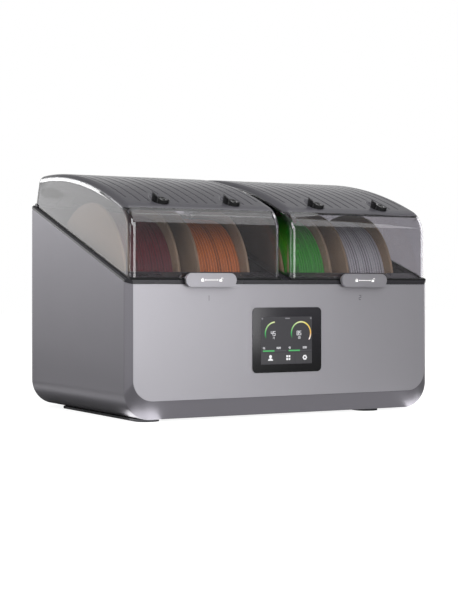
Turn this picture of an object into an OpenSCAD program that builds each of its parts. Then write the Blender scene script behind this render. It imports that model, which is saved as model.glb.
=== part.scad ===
// Filament dryer box: a wedge-shaped case with two heated chambers, each
// with two spools on rollers under its own hinged dome lid.
// X runs left to right, Y front to back, Z up. The origin is the middle of
// the footprint, on the floor.

/* [Case] */
// Width of the case
case_w = 400; // [396:1:416]
// Depth of the case, front panel to back
case_d = 271; // [270:1:280]
// Height of the sloping rim plane at the front panel
front_h = 149; // [147:1:153]
// Slope of the rim plane, in degrees
rim_slope = 19; // [18.5:0.25:20]
// Wall thickness of the outer shell
shell_t = 2.5; // [2:0.25:3]
// Radius of the two long bottom edges
bottom_r = 30.5; // [26:0.5:33]
// Width of the bevel beside the front panel
bevel_w = 7.5; // [6:0.5:9]
// Height of the bevel under the front panel
bevel_h = 20.7; // [18:0.5:23]

/* [Feet] */
// Height that the rubber feet stand out below the case
foot_h = 2.7; // [2:0.1:4]
// Width of a foot strip
foot_w = 28; // [24:1:30]
// Length of a foot strip
foot_len = 222; // [200:1:230]

/* [Rim] */
// Thickness of the rim frame
rim_t = 4; // [3.5:0.25:4.5]
// Height of the lid's lower edge above the rim plane
seal_h = 6.2; // [6:0.1:6.6]

/* [Lids] */
// Width over both lids
lids_w = 393.8; // [390:0.2:395]
// Gap between the two lids
lid_gap = 11.7; // [9:0.1:13]
// Highest point of the domes
dome_top = 281.5; // [281:0.5:286]
// Radius of the long dome curve
dome_r = 560; // [540:5:600]
// Radius of the lid's front shoulder
shoulder_r = 32; // [28:0.5:34]
// Radius of the lid's rounded back edge
back_r = 10; // [8:0.5:12]
// Radius of the lid's upright front corners
lid_corner_r = 8.4; // [6:0.2:9]
// Wall thickness of the clear lid
lid_t = 2.5; // [2:0.25:3]
// Thickness of the ribbed top cover
cover_t = 5; // [4.5:0.25:5.5]
// Angle up the front shoulder at which the cover's lip sits
lip_angle = 47; // [44:1:50]
// Thickness of the cover at its lip
lip_t = 1.2; // [1:0.1:2]

/* [Ribs] */
// Number of grooves in each cover
groove_count = 15; // [9:2:15]
// Distance from groove to groove
groove_pitch = 11.8; // [11:0.1:12]
// Width of a groove
groove_w = 2.6; // [2:0.2:3.4]
// Depth of a groove
groove_deep = 2; // [1.2:0.2:2.4]

/* [Spools] */
// Radius of a spool's flanges
spool_r = 99.5; // [97:0.5:99.5]
// Width of a spool over its flanges
spool_w = 68; // [64:1:70]
// Distance between the two spools of a chamber
spool_pitch = 89.5; // [86:0.5:92]
// Radius of the hub hole
hub_r = 27; // [25:0.5:28]
// Distance of the spool axis behind the front panel
spool_y = 143.2; // [142:0.2:145]
// Height of the spool axis
spool_z = 144; // [143:0.5:145]
// Radius of a carrying roller
roller_r = 8; // [7:0.5:9]
// Angle of the rollers from straight below the spool, in degrees
roller_angle = 35; // [32:1:38]

/* [Latches] */
// Length of a latch knob
knob_w = 62.8; // [58:0.4:66]
// Height of a latch knob
knob_h = 15; // [13:0.5:16]
// How far a latch knob stands out in front of the panel
knob_out = 7.6; // [7:0.2:8.4]
// Travel of a latch from open to locked
latch_travel = 8; // [6:0.5:9]

/* [Display] */
// Width of the display glass
glass_w = 90.4; // [84:0.4:94]
// Height of the display glass
glass_h = 72.5; // [68:0.5:76]
// Height of the middle of the display glass
glass_z = 86.4; // [84:0.2:90]

/* [Outlets] */
// Radius of the tube bore in an outlet fitting
tube_bore_r = 2.1; // [2.05:0.05:2.3]
// Distance of an outlet fitting behind the front panel
outlet_y = 28; // [27:0.5:31]

/* [Hidden] */
$fn = 48;
fine = 24;
gap = 0.3;                       // clearance between pieces that move
fit = 0.05;                      // clearance of a pin in its own bore
front_y = -(case_d - knob_out) / 2;
floor_z = foot_h + shell_t;      // inside floor of the shell
base_z = foot_h;                 // underside of the shell
panel_z = base_z + bevel_h;      // lower edge of the front panel
panel_r = bottom_r - bevel_w;    // lower corner radius of the front panel
panel_t = 2.5;

// the rim plane: s runs up the slope from the front, n stands square to it
function sn(s, n) = [s * cos(rim_slope) - n * sin(rim_slope),
                     front_h + s * sin(rim_slope) + n * cos(rim_slope)];
function s_of(p) = p[0] * cos(rim_slope) + (p[1] - front_h) * sin(rim_slope);
rim_len = case_d / cos(rim_slope);
pivot_s = rim_len - 4.5;         // hinge axis
pivot_n = 3.5;
pivot = sn(pivot_s, pivot_n);
ridge_r = 4.2;                   // round ridge of the rim over the hinge axis
pin_r = 1.5;

lid_w = (lids_w - lid_gap) / 2;
lid_x = (lid_w + lid_gap) / 2;   // middle of a lid from the middle of the case
lid_y = 1.7;                     // lid front behind the panel face
lid_s = rim_len + 1;             // lid back along the slope
dome_y = case_d - 33;            // crest of the dome
dome_c = [dome_y, dome_top - dome_r];

// the front shoulder touches the upright front and the dome
function shoulder_c(off) = let(r = shoulder_r, y = lid_y + r)
    [y, dome_c[1] + sqrt(pow(dome_r - r, 2) - pow(y - dome_y, 2))];
shoulder_a = let(c = shoulder_c(0)) atan2(c[1] - dome_c[1], c[0] - dome_c[0]);
// the back edge touches the dome and the sloping back
function back_c() = let(
    q = lid_s - back_r, rr = dome_r - back_r,
    d = s_of(dome_c), h = sqrt(rr * rr - pow(q - d, 2)))
    [dome_c[0] + (q - d) * cos(rim_slope) - h * sin(rim_slope),
     dome_c[1] + (q - d) * sin(rim_slope) + h * cos(rim_slope)];
back_a = let(c = back_c()) atan2(c[1] - dome_c[1], c[0] - dome_c[0]);
function arc(c, r, a0, a1, n) =
    [for (i = [0:n]) let(a = a0 + (a1 - a0) * i / n) c + r * [cos(a), sin(a)]];

// the lid's outline from a point on the shoulder over the dome and down the back
function dome_path(off, a_from) = concat(
    arc(shoulder_c(0), shoulder_r - off, a_from, shoulder_a, a_from > 179 ? 8 : 5),
    arc(dome_c, dome_r - off, shoulder_a, back_a, 12),
    arc(back_c(), back_r - min(off, back_r - 1), back_a, rim_slope, 5));
// the underside of the cover: thin at the lip, full behind the shoulder
function under_cover(off) = concat(
    [for (i = [0:5]) let(t = min(1, i / 3), a = 180 - lip_angle + (shoulder_a - 180 + lip_angle) * i / 5)
        shoulder_c(0) + (shoulder_r - off - lip_t - (cover_t - lip_t) * t) * [cos(a), sin(a)]],
    arc(dome_c, dome_r - cover_t - off, shoulder_a, back_a, 12),
    arc(back_c(), back_r - min(cover_t + off, back_r - 1), back_a, rim_slope, 5));
function reverse(v) = [for (i = [len(v) - 1:-1:0]) v[i]];

// moulded tub of a chamber
tub_t = 2.2;
tub_w = lid_w - 1;
tub_y0 = 27;                     // front and back of the tub
tub_y1 = case_d - 16;
tub_floor = 34;

module in_case() { translate([0, front_y, 0]) children(); }
// a YZ outline drawn as XY, run along X and centred
module along_x(w) {
    rotate([90, 0, 90]) translate([0, 0, -w / 2]) linear_extrude(w) children();
}
// children given in slope coordinates: X, s, n
module on_rim() {
    translate([0, 0, front_h]) rotate([rim_slope, 0, 0]) children();
}
module tube_x(r, l) { rotate([0, 90, 0]) cylinder(r = r, h = l, center = true); }
module pill(w, h, t) {
    translate([0, t / 2, 0]) rotate([90, 0, 0]) linear_extrude(t, center = true)
        union() {
            square([w - h, h], center = true);
            for (i = [-1, 1]) translate([i * (w - h) / 2, 0]) circle(h / 2);
        }
}
module round_plate(w, h, r, t) {
    translate([0, t / 2, 0]) rotate([90, 0, 0]) linear_extrude(t, center = true)
        union() {
            square([w, h - 2 * r], center = true);
            square([w - 2 * r, h], center = true);
            for (i = [-1, 1], j = [-1, 1])
                translate([i * (w / 2 - r), j * (h / 2 - r)]) circle(r, $fn = fine);
        }
}
// everything under the rim plane, shifted along its normal
module under_rim(n, y0 = -60, y1 = 340) {
    along_x(2 * case_w) polygon([
        [y0, -10], [y1, -10],
        sn((y1 + 40) / cos(rim_slope), n), sn((y0 - 40) / cos(rim_slope), n)]);
}

// ---- outer case ----

// front view of the case: upright sides, two long rounded bottom edges
module case_face(inset, z0, r, top = 300) {
    w = case_w / 2 - inset;
    union() {
        translate([-w, z0 + r]) square([2 * w, top - z0 - r]);
        translate([-w + r, z0]) square([2 * (w - r), r + 1]);
        for (i = [-1, 1]) translate([i * (w - r), z0 + r]) circle(r);
    }
}
module face_slab(y0, t) { translate([0, y0 + t, 0]) rotate([90, 0, 0]) linear_extrude(t) children(); }

module outer_shell() {
    in_case() color("#8f8e94") difference() {
        union() {
            face_slab(bevel_w, case_d - bevel_w) case_face(0, base_z, bottom_r);
            // bevel that frames the front panel
            hull() {
                face_slab(bevel_w, 0.01) case_face(0, base_z, bottom_r);
                face_slab(0, 0.01) case_face(bevel_w, panel_z, panel_r);
            }
        }
        // hollow between the front ledge and the back opening
        face_slab(bevel_w + 1, case_d) case_face(shell_t, floor_z, bottom_r - shell_t);
        // seat and window for the front panel
        face_slab(-1, panel_t + 1) case_face(bevel_w, panel_z, panel_r);
        face_slab(-1, 20) case_face(bevel_w + 4, panel_z + 4, panel_r - 4);
        // sloping top edge
        difference() {
            translate([-case_w, -50, 40]) cube([2 * case_w, case_d + 100, 400]);
            under_rim(0);
        }
        // air slots through the floor
        for (i = [-1, 1], k = [0:7])
            translate([i * lid_x - 40 + k * 11, 85, 0]) cube([4, 90, floor_z + 1]);
    }
}

module front_panel() {
    in_case() color("#b9b8be") difference() {
        face_slab(0, panel_t) intersection() {
            case_face(bevel_w, panel_z, panel_r);
            translate([-case_w, 0]) square([2 * case_w, front_h]);
        }
        translate([0, -1, glass_z]) round_plate(glass_w + 0.4, glass_h + 0.4, 5.2, panel_t + 2);
    }
}

// ---- back ----
inlet_x = case_w / 2 - 50; inlet_z = 40;
switch_x = case_w / 2 - 19;
module rear_panel() {
    in_case() color("#77767c") difference() {
        face_slab(case_d - shell_t, shell_t - 0.5) intersection() {
            case_face(shell_t, floor_z, bottom_r - shell_t);
            translate([-case_w, 0]) square([2 * case_w, front_h + (case_d - shell_t) * tan(rim_slope) - 0.4]);
        }
        translate([inlet_x, case_d - 5, inlet_z]) cube([28, 12, 20], center = true);
        translate([switch_x, case_d - 5, inlet_z]) cube([27, 12, 19], center = true);
        // intake louvres behind each chamber
        for (i = [-1, 1], j = [0:6])
            translate([i * lid_x - 33, case_d - 6, 62 + j * 7]) cube([66, 12, 3]);
    }
}

module power_inlet() {
    in_case() translate([inlet_x, case_d - shell_t, inlet_z]) color("#1d1d1f") difference() {
        union() {
            translate([0, -10, 0]) cube([27.6, 20, 19.6], center = true);
            translate([0, shell_t - 0.5 + 0.25, 0]) cube([31, 0.5, 23], center = true);
        }
        translate([0, -6, 0]) cube([24, 24, 16], center = true);
    }
    in_case() color("#c9c9cc") for (i = [-1:1])
        translate([inlet_x + i * 7, case_d - shell_t - 13, inlet_z + (i == 0 ? 2 : -2)])
            cube([2, 10.1, 4], center = true);
}

module switch_housing() {
    in_case() translate([switch_x, case_d - shell_t, inlet_z]) color("#1d1d1f") difference() {
        translate([0, -8, 0]) cube([26.6, 20, 18.6], center = true);
        translate([0, -3, 0]) cube([21, 20, 13], center = true);
        translate([0, -5, 0]) tube_x(1.55, 30, $fn = fine);
    }
}
rocker_y = case_d - shell_t - 5;
module switch_rocker() {
    in_case() translate([switch_x, rocker_y, inlet_z]) color("#2a2a2c") union() {
        difference() {
            translate([0, 1.5, 0]) cube([20, 7, 11.6], center = true);
            translate([0, 20.4, 0]) tube_x(16, 30);
        }
        tube_x(1.5, 25, $fn = fine);
    }
}

// ---- underside ----
foot_xs = [-(case_w / 2 - 35), case_w / 2 - 75];
module foot(x) {
    in_case() translate([x, 11, 0]) color("#26262a") union() {
        translate([-foot_w / 2, foot_w / 2, 0]) cube([foot_w, foot_len - foot_w, foot_h]);
        for (y = [foot_w / 2, foot_len - foot_w / 2]) translate([0, y, 0]) cylinder(r = foot_w / 2, h = foot_h);
    }
}
module foot_left() { foot(foot_xs[0]); }
module foot_right() { foot(foot_xs[1]); }

plate_t = 1.5;
plate_x = case_w / 2 - bottom_r - 9.5;   // half width of the plate
plate_z = floor_z;
module chassis_plate() {
    in_case() color("#a9abae") difference() {
        translate([-plate_x, 12, plate_z]) cube([2 * plate_x, case_d - 24, plate_t]);
        for (i = [-1, 1]) translate([i * lid_x - 41, 80, 0]) cube([82, 100, 20]);
        for (i = [-1, 1], y = [22, case_d - 24]) translate([i * (plate_x - 10), y, 0]) cylinder(r = 2.2, h = 20, $fn = fine);
    }
}

// ---- rim between case and lids ----
open_w = lid_w - 8;               // width of a chamber's opening in the rim
open_s0 = (tub_y0 + tub_t) / cos(rim_slope);
open_s1 = (tub_y1 - tub_t) / cos(rim_slope);
notch_w = 17;                     // room for a hinge arm in the ridge
hinge_xs = [-62, 62];
keeper_w = 34; keeper_d = 4;

module rim_outline() {
    w = case_w / 2;
    polygon([[-w + bevel_w, 0], [w - bevel_w, 0], [w, bevel_w], [w, rim_len - 0.2],
             [-w, rim_len - 0.2], [-w, bevel_w]]);
}
module rim_frame() {
    in_case() color("#4a4a4e") difference() {
        on_rim() difference() {
            union() {
                linear_extrude(rim_t) rim_outline();
                translate([0, pivot_s, pivot_n]) tube_x(ridge_r, lids_w);
                translate([-lids_w / 2, pivot_s - ridge_r, 0.5]) cube([lids_w, 2 * ridge_r, 3]);
            }
            for (i = [-1, 1]) translate([i * lid_x, 0, 0]) {
                // chamber opening
                translate([-open_w / 2, open_s0, -10]) cube([open_w, open_s1 - open_s0, 30]);
                for (x = hinge_xs) translate([x, pivot_s, pivot_n]) {
                    translate([-notch_w / 2, -ridge_r - 1.5, -8]) cube([notch_w, 20, 26]);
                    tube_x(pin_r + 0.02, 44, $fn = fine);
                }
            }
            // light bevel along the front and the sides
            translate([0, 0, rim_t]) rotate([45, 0, 0]) cube([2 * case_w, 2.2, 2.2], center = true);
            for (i = [-1, 1]) translate([i * case_w / 2, rim_len / 2, rim_t])
                rotate([0, 45, 0]) cube([2.2, 2 * rim_len, 2.2], center = true);
        }
        // flush with the front and the back of the case
        translate([-case_w, case_d, 0]) cube([2 * case_w, 30, 400]);
        translate([-case_w, -30, 0]) cube([2 * case_w, 30, 400]);
        // pockets for the latch keepers
        for (i = [-1, 1]) translate([i * lid_x - keeper_w / 2, -5, front_h - 5])
            cube([keeper_w, 5 + keeper_d, 30]);
    }
}

module gasket(side) {
    in_case() on_rim() translate([side * lid_x, 0, rim_t]) color("#18181a") difference() {
        translate([-lid_w / 2 + 0.8, lid_y + 1.6, 0]) cube([lid_w - 1.6, open_s1 + 3, seal_h - rim_t - gap]);
        translate([-open_w / 2, 7, -1]) cube([open_w, open_s1 - 7, 10]);
        translate([-keeper_w / 2, -5, -1]) cube([keeper_w, 5 + keeper_d + 0.2, 10]);
    }
}
module gasket_left() { gasket(-1); }
module gasket_right() { gasket(1); }

module hinge_pins(side) {
    in_case() on_rim() color("#c9c9cc") for (x = hinge_xs)
        translate([side * lid_x + x, pivot_s, pivot_n]) tube_x(pin_r, 43, $fn = fine);
}
module hinge_pins_left() { hinge_pins(-1); }
module hinge_pins_right() { hinge_pins(1); }

// ---- lids ----
// outline of the clear lid: lower edge on the seal, raised at the back over the ridge
back_n = ridge_r + pivot_n + 0.5;
module lid_outline(inset) {
    polygon(concat(
        [sn(lid_s - cover_t - inset, back_n), sn(pivot_s - 8, back_n), sn(pivot_s - 10, seal_h),
         [lid_y + inset, front_h + (lid_y + inset) * tan(rim_slope) + seal_h / cos(rim_slope)]],
        arc(shoulder_c(0), shoulder_r - inset, 180, 180 - lip_angle, 6),
        under_cover(inset)));
}
// plan of the lid with its two rounded front corners
module lid_plan(inset, r) {
    w = lid_w / 2 - inset; y0 = lid_y + inset;
    translate([0, 0, 100]) linear_extrude(250) union() {
        translate([-w, y0 + r]) square([2 * w, case_d + 20 - y0 - r]);
        translate([-w + r, y0]) square([2 * (w - r), r + 1]);
        for (i = [-1, 1]) translate([i * (w - r), y0 + r]) circle(r, $fn = 40);
    }
}
seat = 10;                        // ledge of the clear lid under the cover
module lid_shell(side) {
    in_case() translate([side * lid_x, 0, 0]) color([0.35, 0.34, 0.36, 0.55]) difference() {
        intersection() {
            along_x(lid_w) lid_outline(0);
            lid_plan(0, lid_corner_r);
        }
        // inside
        intersection() {
            along_x(lid_w) union() {
                lid_outline(lid_t);
                // run the hollow out through the lower edge
                polygon([[lid_y + lid_t, front_h - 10], sn(lid_s - cover_t - lid_t, -8),
                         sn(lid_s - cover_t - lid_t, back_n + 0.1), sn(pivot_s - 8, back_n + 0.1),
                         sn(pivot_s - 10, seal_h + 0.1),
                         [lid_y + lid_t, front_h + lid_t * tan(rim_slope) + seal_h / cos(rim_slope) + 2]]);
            }
            lid_plan(lid_t, lid_corner_r - lid_t);
        }
        // window under the cover, leaving a ledge all round
        translate([-lid_w / 2 + seat, outlet_y - fitting_r, 200])
            cube([lid_w - 2 * seat, dome_y - 4 - outlet_y + fitting_r, 120]);
    }
}
module lid_shell_left() { lid_shell(-1); }
module lid_shell_right() { lid_shell(1); }

outlet_xs = [-spool_pitch / 2, spool_pitch / 2];
outlet_a = let(p = [outlet_y, 0]) atan2(dome_y - outlet_y, dome_r);   // slope of the dome there
outlet_p = [outlet_y, dome_c[1] + sqrt(dome_r * dome_r - pow(outlet_y - dome_y, 2))];
fitting_r = 7.5;
module at_outlet(x) {
    translate([x, outlet_p[0], outlet_p[1]]) rotate([outlet_a, 0, 0]) children();
}
recess_deep = 3;
recess_r = 10.5;                  // round front of the recess
recess_back = 28;                 // from the fitting to the point at the back
module outlet_recess() {
    // boat shape: round in front, two arcs that meet in a point towards the back
    r = (recess_back * recess_back + recess_r * recess_r) / recess_r / 2;
    translate([0, 0, -recess_deep]) linear_extrude(30) union() {
        circle(recess_r);
        intersection() {
            translate([recess_r - r, 0]) circle(r);
            translate([r - recess_r, 0]) circle(r);
            translate([-recess_r, 0]) square([2 * recess_r, recess_back + 1]);
        }
    }
}
module ribbed_cover(side) {
    in_case() translate([side * lid_x, 0, 0]) color("#6e6d72") difference() {
        intersection() {
            along_x(lid_w) polygon(concat(
                dome_path(0, 180 - lip_angle),
                [sn(lid_s, back_n), sn(lid_s - cover_t, back_n)],
                reverse(under_cover(0))));
            lid_plan(0, lid_corner_r);
        }
        // grooves, shorter at the outer ends and behind the outlets
        for (k = [-(groove_count - 1) / 2:(groove_count - 1) / 2]) {
            x = k * groove_pitch;
            near = min([for (o = outlet_xs) abs(x - o)]);
            last = abs(k) == (groove_count - 1) / 2;
            y0 = near < groove_w / 2 + recess_r ? outlet_y + 32 - near : last ? 36 : 25;
            translate([x, 0, 0]) along_x(groove_w) polygon(concat(
                [for (p = arc(dome_c, dome_r + 3, 180 - acos((dome_y - y0) / dome_r), back_a, 10)) p],
                arc(back_c(), back_r + 3, back_a, rim_slope, 4), [sn(lid_s + 3, back_n + 8)],
                [sn(lid_s - groove_deep, back_n + 8)],
                reverse(arc(back_c(), back_r - groove_deep, back_a, rim_slope, 4)),
                reverse(arc(dome_c, dome_r - groove_deep, 180 - acos((dome_y - y0) / dome_r), back_a, 10))));
        }
        for (x = outlet_xs) at_outlet(x) {
            outlet_recess();
            cylinder(r = fitting_r + fit, h = 40, center = true);
        }
    }
}
module cover_left() { ribbed_cover(-1); }
module cover_right() { ribbed_cover(1); }

// tube fitting: a collar in the recess, a collet, a high guard on the left and a low one in front
collar_r = recess_r - 0.4;
guard_left = 7.5; guard_right = 2.2;
module outlet_fitting() {
    difference() {
        union() {
            translate([0, 0, -14]) cylinder(r = fitting_r, h = 15);
            translate([0, 0, -recess_deep]) cylinder(r = collar_r, h = 2.6);
            translate([0, 0, 1]) cylinder(r1 = fitting_r - 1, r2 = fitting_r - 2.2, h = 2.5);
            // guard: a wall round the front whose top slopes up to the left
            difference() {
                translate([0, 0, -recess_deep]) cylinder(r = collar_r, h = recess_deep + guard_left);
                translate([0, 0, -recess_deep - 1]) cylinder(r = fitting_r + 0.6, h = 20);
                translate([collar_r, 0, guard_right])
                    rotate([0, atan2(guard_left - guard_right, 2 * collar_r), 0])
                    translate([-40, -20, 0]) cube([60, 40, 20]);
                translate([-20, 4, -recess_deep + 2]) cube([40, 20, 20]);
            }
        }
        cylinder(r = tube_bore_r, h = 60, center = true, $fn = fine);
        translate([0, 0, 2.6]) cylinder(r1 = tube_bore_r, r2 = tube_bore_r + 2.2, h = 2, $fn = fine);
    }
}
module outlets(side) {
    in_case() translate([side * lid_x, 0, 0]) color("#141416")
        for (x = outlet_xs) at_outlet(x) outlet_fitting();
}
module outlets_left() { outlets(-1); }
module outlets_right() { outlets(1); }

// arm that carries the lid on its hinge pin; it ends below the rounded back edge of the lid
arm_w = 16;
back_n1 = let(c = back_c()) (c[1] - front_h) * cos(rim_slope) - c[0] * sin(rim_slope);
arm_h = back_n1 - pivot_n - 8.3;
module hinge_arm(side) {
    in_case() on_rim() translate([side * lid_x, pivot_s, pivot_n]) color("#3a3a3d")
        for (x = hinge_xs) translate([x, 0, 0]) difference() {
            union() {
                tube_x(3.8, arm_w);
                translate([-arm_w / 2, lid_s - cover_t - lid_t - pivot_s - 3, 0])
                    cube([arm_w, 3, arm_h]);
                translate([-arm_w / 2, lid_s - cover_t - lid_t - pivot_s - 3, 0]) cube([arm_w, 5.5, 4]);
            }
            tube_x(pin_r + 0.08, arm_w + 2, $fn = fine);
        }
}
module hinge_arms_left() { hinge_arm(-1); }
module hinge_arms_right() { hinge_arm(1); }

// ---- latches ----
latch_z = front_h + 4.7;          // middle of the knob
base_t = 3.4;                     // base plate between lid and knob
catch_t = 1.2;                    // catch of the keeper, in front of the rim
tongue_w = 8; tongue_h = 1.2;
tongue_z = front_h - gap - tongue_h / 2;
module latch_base(side) {
    in_case() translate([side * lid_x, 0, 0]) color("#1c1c1e") difference() {
        union() {
            translate([0, -base_t - gap, latch_z]) pill(knob_w - 3, knob_h - 2, base_t);
            // pad that carries the plate on the lid
            translate([-20, -gap - 0.01, front_h + 8.4]) cube([40, lid_y + gap + 0.01, latch_z + knob_h / 2 - front_h - 9.4]);
        }
        // straight lower edge above the catch
        translate([-knob_w, -10, 0]) cube([2 * knob_w, 10, front_h + catch_t + gap]);
    }
}
module latch_base_left() { latch_base(-1); }
module latch_base_right() { latch_base(1); }
module latch_knob(side) {
    in_case() translate([side * lid_x, 0, 0]) color("#a6a5ab") union() {
        translate([0, -knob_out, latch_z]) pill(knob_w, knob_h, knob_out - base_t - 2 * gap);
        translate([-tongue_w / 2, -base_t - 2 * gap - 0.5, tongue_z - tongue_h / 2])
            cube([tongue_w, base_t + 2 * gap, tongue_h]);
    }
}
module latch_knob_left() { latch_knob(-1); }
module latch_knob_right() { latch_knob(1); }
// a block in the rim; the locked tongue lies under its catch, and the open one stands beside it
module keeper(side) {
    catch_w = latch_travel + 1 - 2 * gap;
    in_case() translate([side * lid_x, 0, 0]) color("#3a3a3d") union() {
        translate([-keeper_w / 2, 0, front_h]) cube([keeper_w, keeper_d - 0.1, 4.2]);
        translate([-tongue_w / 2 - 2 * gap - catch_w, -base_t, front_h]) cube([catch_w, base_t + 1, catch_t]);
    }
}
module latch_keeper_left() { keeper(-1); }
module latch_keeper_right() { keeper(1); }

// ---- chambers ----
roller_d = spool_r + roller_r + gap;
function roller_p(i) = [spool_y + i * roller_d * sin(roller_angle), spool_z - roller_d * cos(roller_angle)];
slope_p = [case_d - 59, tub_floor]; // foot of the sloping back of the tub
slope_q = [tub_y1, tub_floor + (tub_y1 - slope_p[0]) * 4 / 3];
module tub_side(o) {
    polygon([[tub_y0 + o, 95 + o * 0.3], [75 + o * 0.4, tub_floor + o],
             [slope_p[0] - o / 2, tub_floor + o], [slope_q[0] - o, slope_q[1] + o / 3],
             [tub_y1 - o, 330], [tub_y0 + o, 330]]);
}
// middle of the heater duct on the sloping back of the tub
duct_c = slope_p + 28 * [0.6, 0.8];
module at_duct(side) {
    translate([side * lid_x, duct_c[0], duct_c[1]]) rotate([atan2(4, 3), 0, 0])
        children();
}
axle_r = 3;
boss_t = 4.1;                      // boss at the side wall, and half of the middle post
post_t = 2;
roller_play = 0.5;                 // at each end of a roller
module tub(side) {
    in_case() color("#3c3c40") difference() {
        translate([side * lid_x, 0, 0]) union() {
            difference() {
                along_x(tub_w) tub_side(0);
                along_x(tub_w - 2 * tub_t) tub_side(tub_t);
            }
            // bosses and posts for the roller axles
            for (i = [-1, 1]) {
                p = roller_p(i);
                for (j = [-1, 1]) translate([j * (tub_w / 2 - tub_t - boss_t / 2), p[0], p[1]]) tube_x(7, boss_t + 0.1);
                translate([0, p[0], p[1]]) tube_x(6, 2 * post_t);
                translate([-post_t, p[0] - 6, tub_floor + 0.5]) cube([2 * post_t, 12, p[1] - tub_floor - 0.5]);
            }
            // posts that stand on the chassis plate
            for (i = [-1, 1], y = [tub_y0 + 63, slope_p[0] - 22]) translate([i * 48, y, plate_z + plate_t])
                cylinder(r = 5, h = tub_floor - plate_z - plate_t + 0.5, $fn = fine);
        }
        // top cut along the rim plane
        difference() {
            translate([-case_w, -50, 40]) cube([2 * case_w, case_d + 100, 400]);
            under_rim(0);
        }
        for (i = [-1, 1]) {
            p = roller_p(i);
            translate([side * lid_x, p[0], p[1]]) tube_x(axle_r + fit, tub_w - 4);
        }
        // grille in front of the heater
        at_duct(side) for (k = [-3:3]) translate([k * 7 - 1.75, -22, -8]) cube([3.5, 44, 16]);
    }
}
module tub_left() { tub(-1); }
module tub_right() { tub(1); }

module roller_axles(side) {
    in_case() color("#c9c9cc") for (i = [-1, 1]) {
        p = roller_p(i);
        translate([side * lid_x, p[0], p[1]]) tube_x(axle_r, tub_w - 4.4);
    }
}
module roller_axles_left() { roller_axles(-1); }
module roller_axles_right() { roller_axles(1); }

function spool_x(k) = (k < 2 ? -1 : 1) * lid_x + (k % 2 == 0 ? -1 : 1) * spool_pitch / 2;
roller_x = [post_t + roller_play, tub_w / 2 - tub_t - boss_t - roller_play];   // ends of a roller
roller_len = roller_x[1] - roller_x[0];
module roller(k, i) {
    p = roller_p(i);
    x = (k < 2 ? -1 : 1) * lid_x + (k % 2 == 0 ? -1 : 1) * (roller_x[0] + roller_x[1]) / 2;
    in_case() translate([x, p[0], p[1]]) rotate([0, 90, 0]) color("#d8d8d6")
        rotate_extrude() {
            polygon([[axle_r + 0.08, -roller_len / 2], [roller_r, -roller_len / 2],
                     [roller_r, roller_len / 2], [axle_r + 0.08, roller_len / 2]]);
        }
}
module roller_1_front() { roller(0, -1); }
module roller_1_rear() { roller(0, 1); }
module roller_2_front() { roller(1, -1); }
module roller_2_rear() { roller(1, 1); }
module roller_3_front() { roller(2, -1); }
module roller_3_rear() { roller(2, 1); }
module roller_4_front() { roller(3, -1); }
module roller_4_rear() { roller(3, 1); }

flange_t = 3.5; core_r = 42;
module spool(k) {
    w = spool_w / 2;
    in_case() translate([spool_x(k), spool_y, spool_z]) rotate([0, 90, 0]) color("#a08a6c")
        rotate_extrude($fn = 96) polygon([
            [hub_r, -w], [spool_r - 0.6, -w], [spool_r, -w + 0.6], [spool_r, -w + flange_t],
            [core_r, -w + flange_t], [core_r, w - flange_t], [spool_r, w - flange_t],
            [spool_r, w - 0.6], [spool_r - 0.6, w], [hub_r, w]]);
}
module spool_1() { spool(0); }
module spool_2() { spool(1); }
module spool_3() { spool(2); }
module spool_4() { spool(3); }
fill_r = [88.5, 85.5, 90, 87];
fill_c = ["#5a2a30", "#b8672f", "#2f8f36", "#8b8a8c"];
module filament(k) {
    w = spool_w / 2 - flange_t - 0.1;
    in_case() translate([spool_x(k), spool_y, spool_z]) rotate([0, 90, 0]) color(fill_c[k])
        rotate_extrude($fn = 96) polygon([
            [core_r + 0.1, -w], [fill_r[k] - 1.5, -w], [fill_r[k], -w + 1.5],
            [fill_r[k], w - 1.5], [fill_r[k] - 1.5, w], [core_r + 0.1, w]]);
}
module filament_1() { filament(0); }
module filament_2() { filament(1); }
module filament_3() { filament(2); }
module filament_4() { filament(3); }

// ---- heating ----
fan_s = 50; fan_t = 15; heat_t = 12;
module heater(side) {
    in_case() at_duct(side) color("#b98d4a") translate([0, 0, -heat_t]) difference() {
        translate([-fan_s / 2, -fan_s / 2, 0]) cube([fan_s, fan_s, heat_t]);
        for (k = [-5:5]) translate([k * 4 - 1.2, -20, -1]) cube([2.4, 40, heat_t + 2]);
    }
}
module heater_left() { heater(-1); }
module heater_right() { heater(1); }
module fan_housing(side) {
    in_case() at_duct(side) color("#1b1b1d") translate([0, 0, -heat_t - fan_t]) union() {
        difference() {
            translate([-fan_s / 2, -fan_s / 2, 0]) cube([fan_s, fan_s, fan_t]);
            translate([0, 0, -1]) cylinder(r = fan_s / 2 - 1.5, h = fan_t + 2);
        }
        cylinder(r = 9, h = 2);
        for (a = [45, 165, 285]) rotate([0, 0, a]) translate([8, -1.5, 0]) cube([fan_s / 2 - 9, 3, 2]);
        cylinder(r = 1.5, h = 10, $fn = fine);
    }
}
module fan_housing_left() { fan_housing(-1); }
module fan_housing_right() { fan_housing(1); }
module fan_impeller(side) {
    in_case() at_duct(side) color("#242427") translate([0, 0, -heat_t - fan_t]) difference() {
        union() {
            translate([0, 0, 2.4]) cylinder(r = 10, h = 10.6);
            for (a = [0:360 / 7:359]) rotate([0, 0, a]) translate([9, 0, 7.8]) rotate([35, 0, 0])
                translate([0, -6.5, -0.6]) cube([13.5, 13, 1.2]);
        }
        translate([0, 0, -1]) cylinder(r = 1.58, h = 12, $fn = fine);
    }
}
module fan_impeller_left() { fan_impeller(-1); }
module fan_impeller_right() { fan_impeller(1); }

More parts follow.
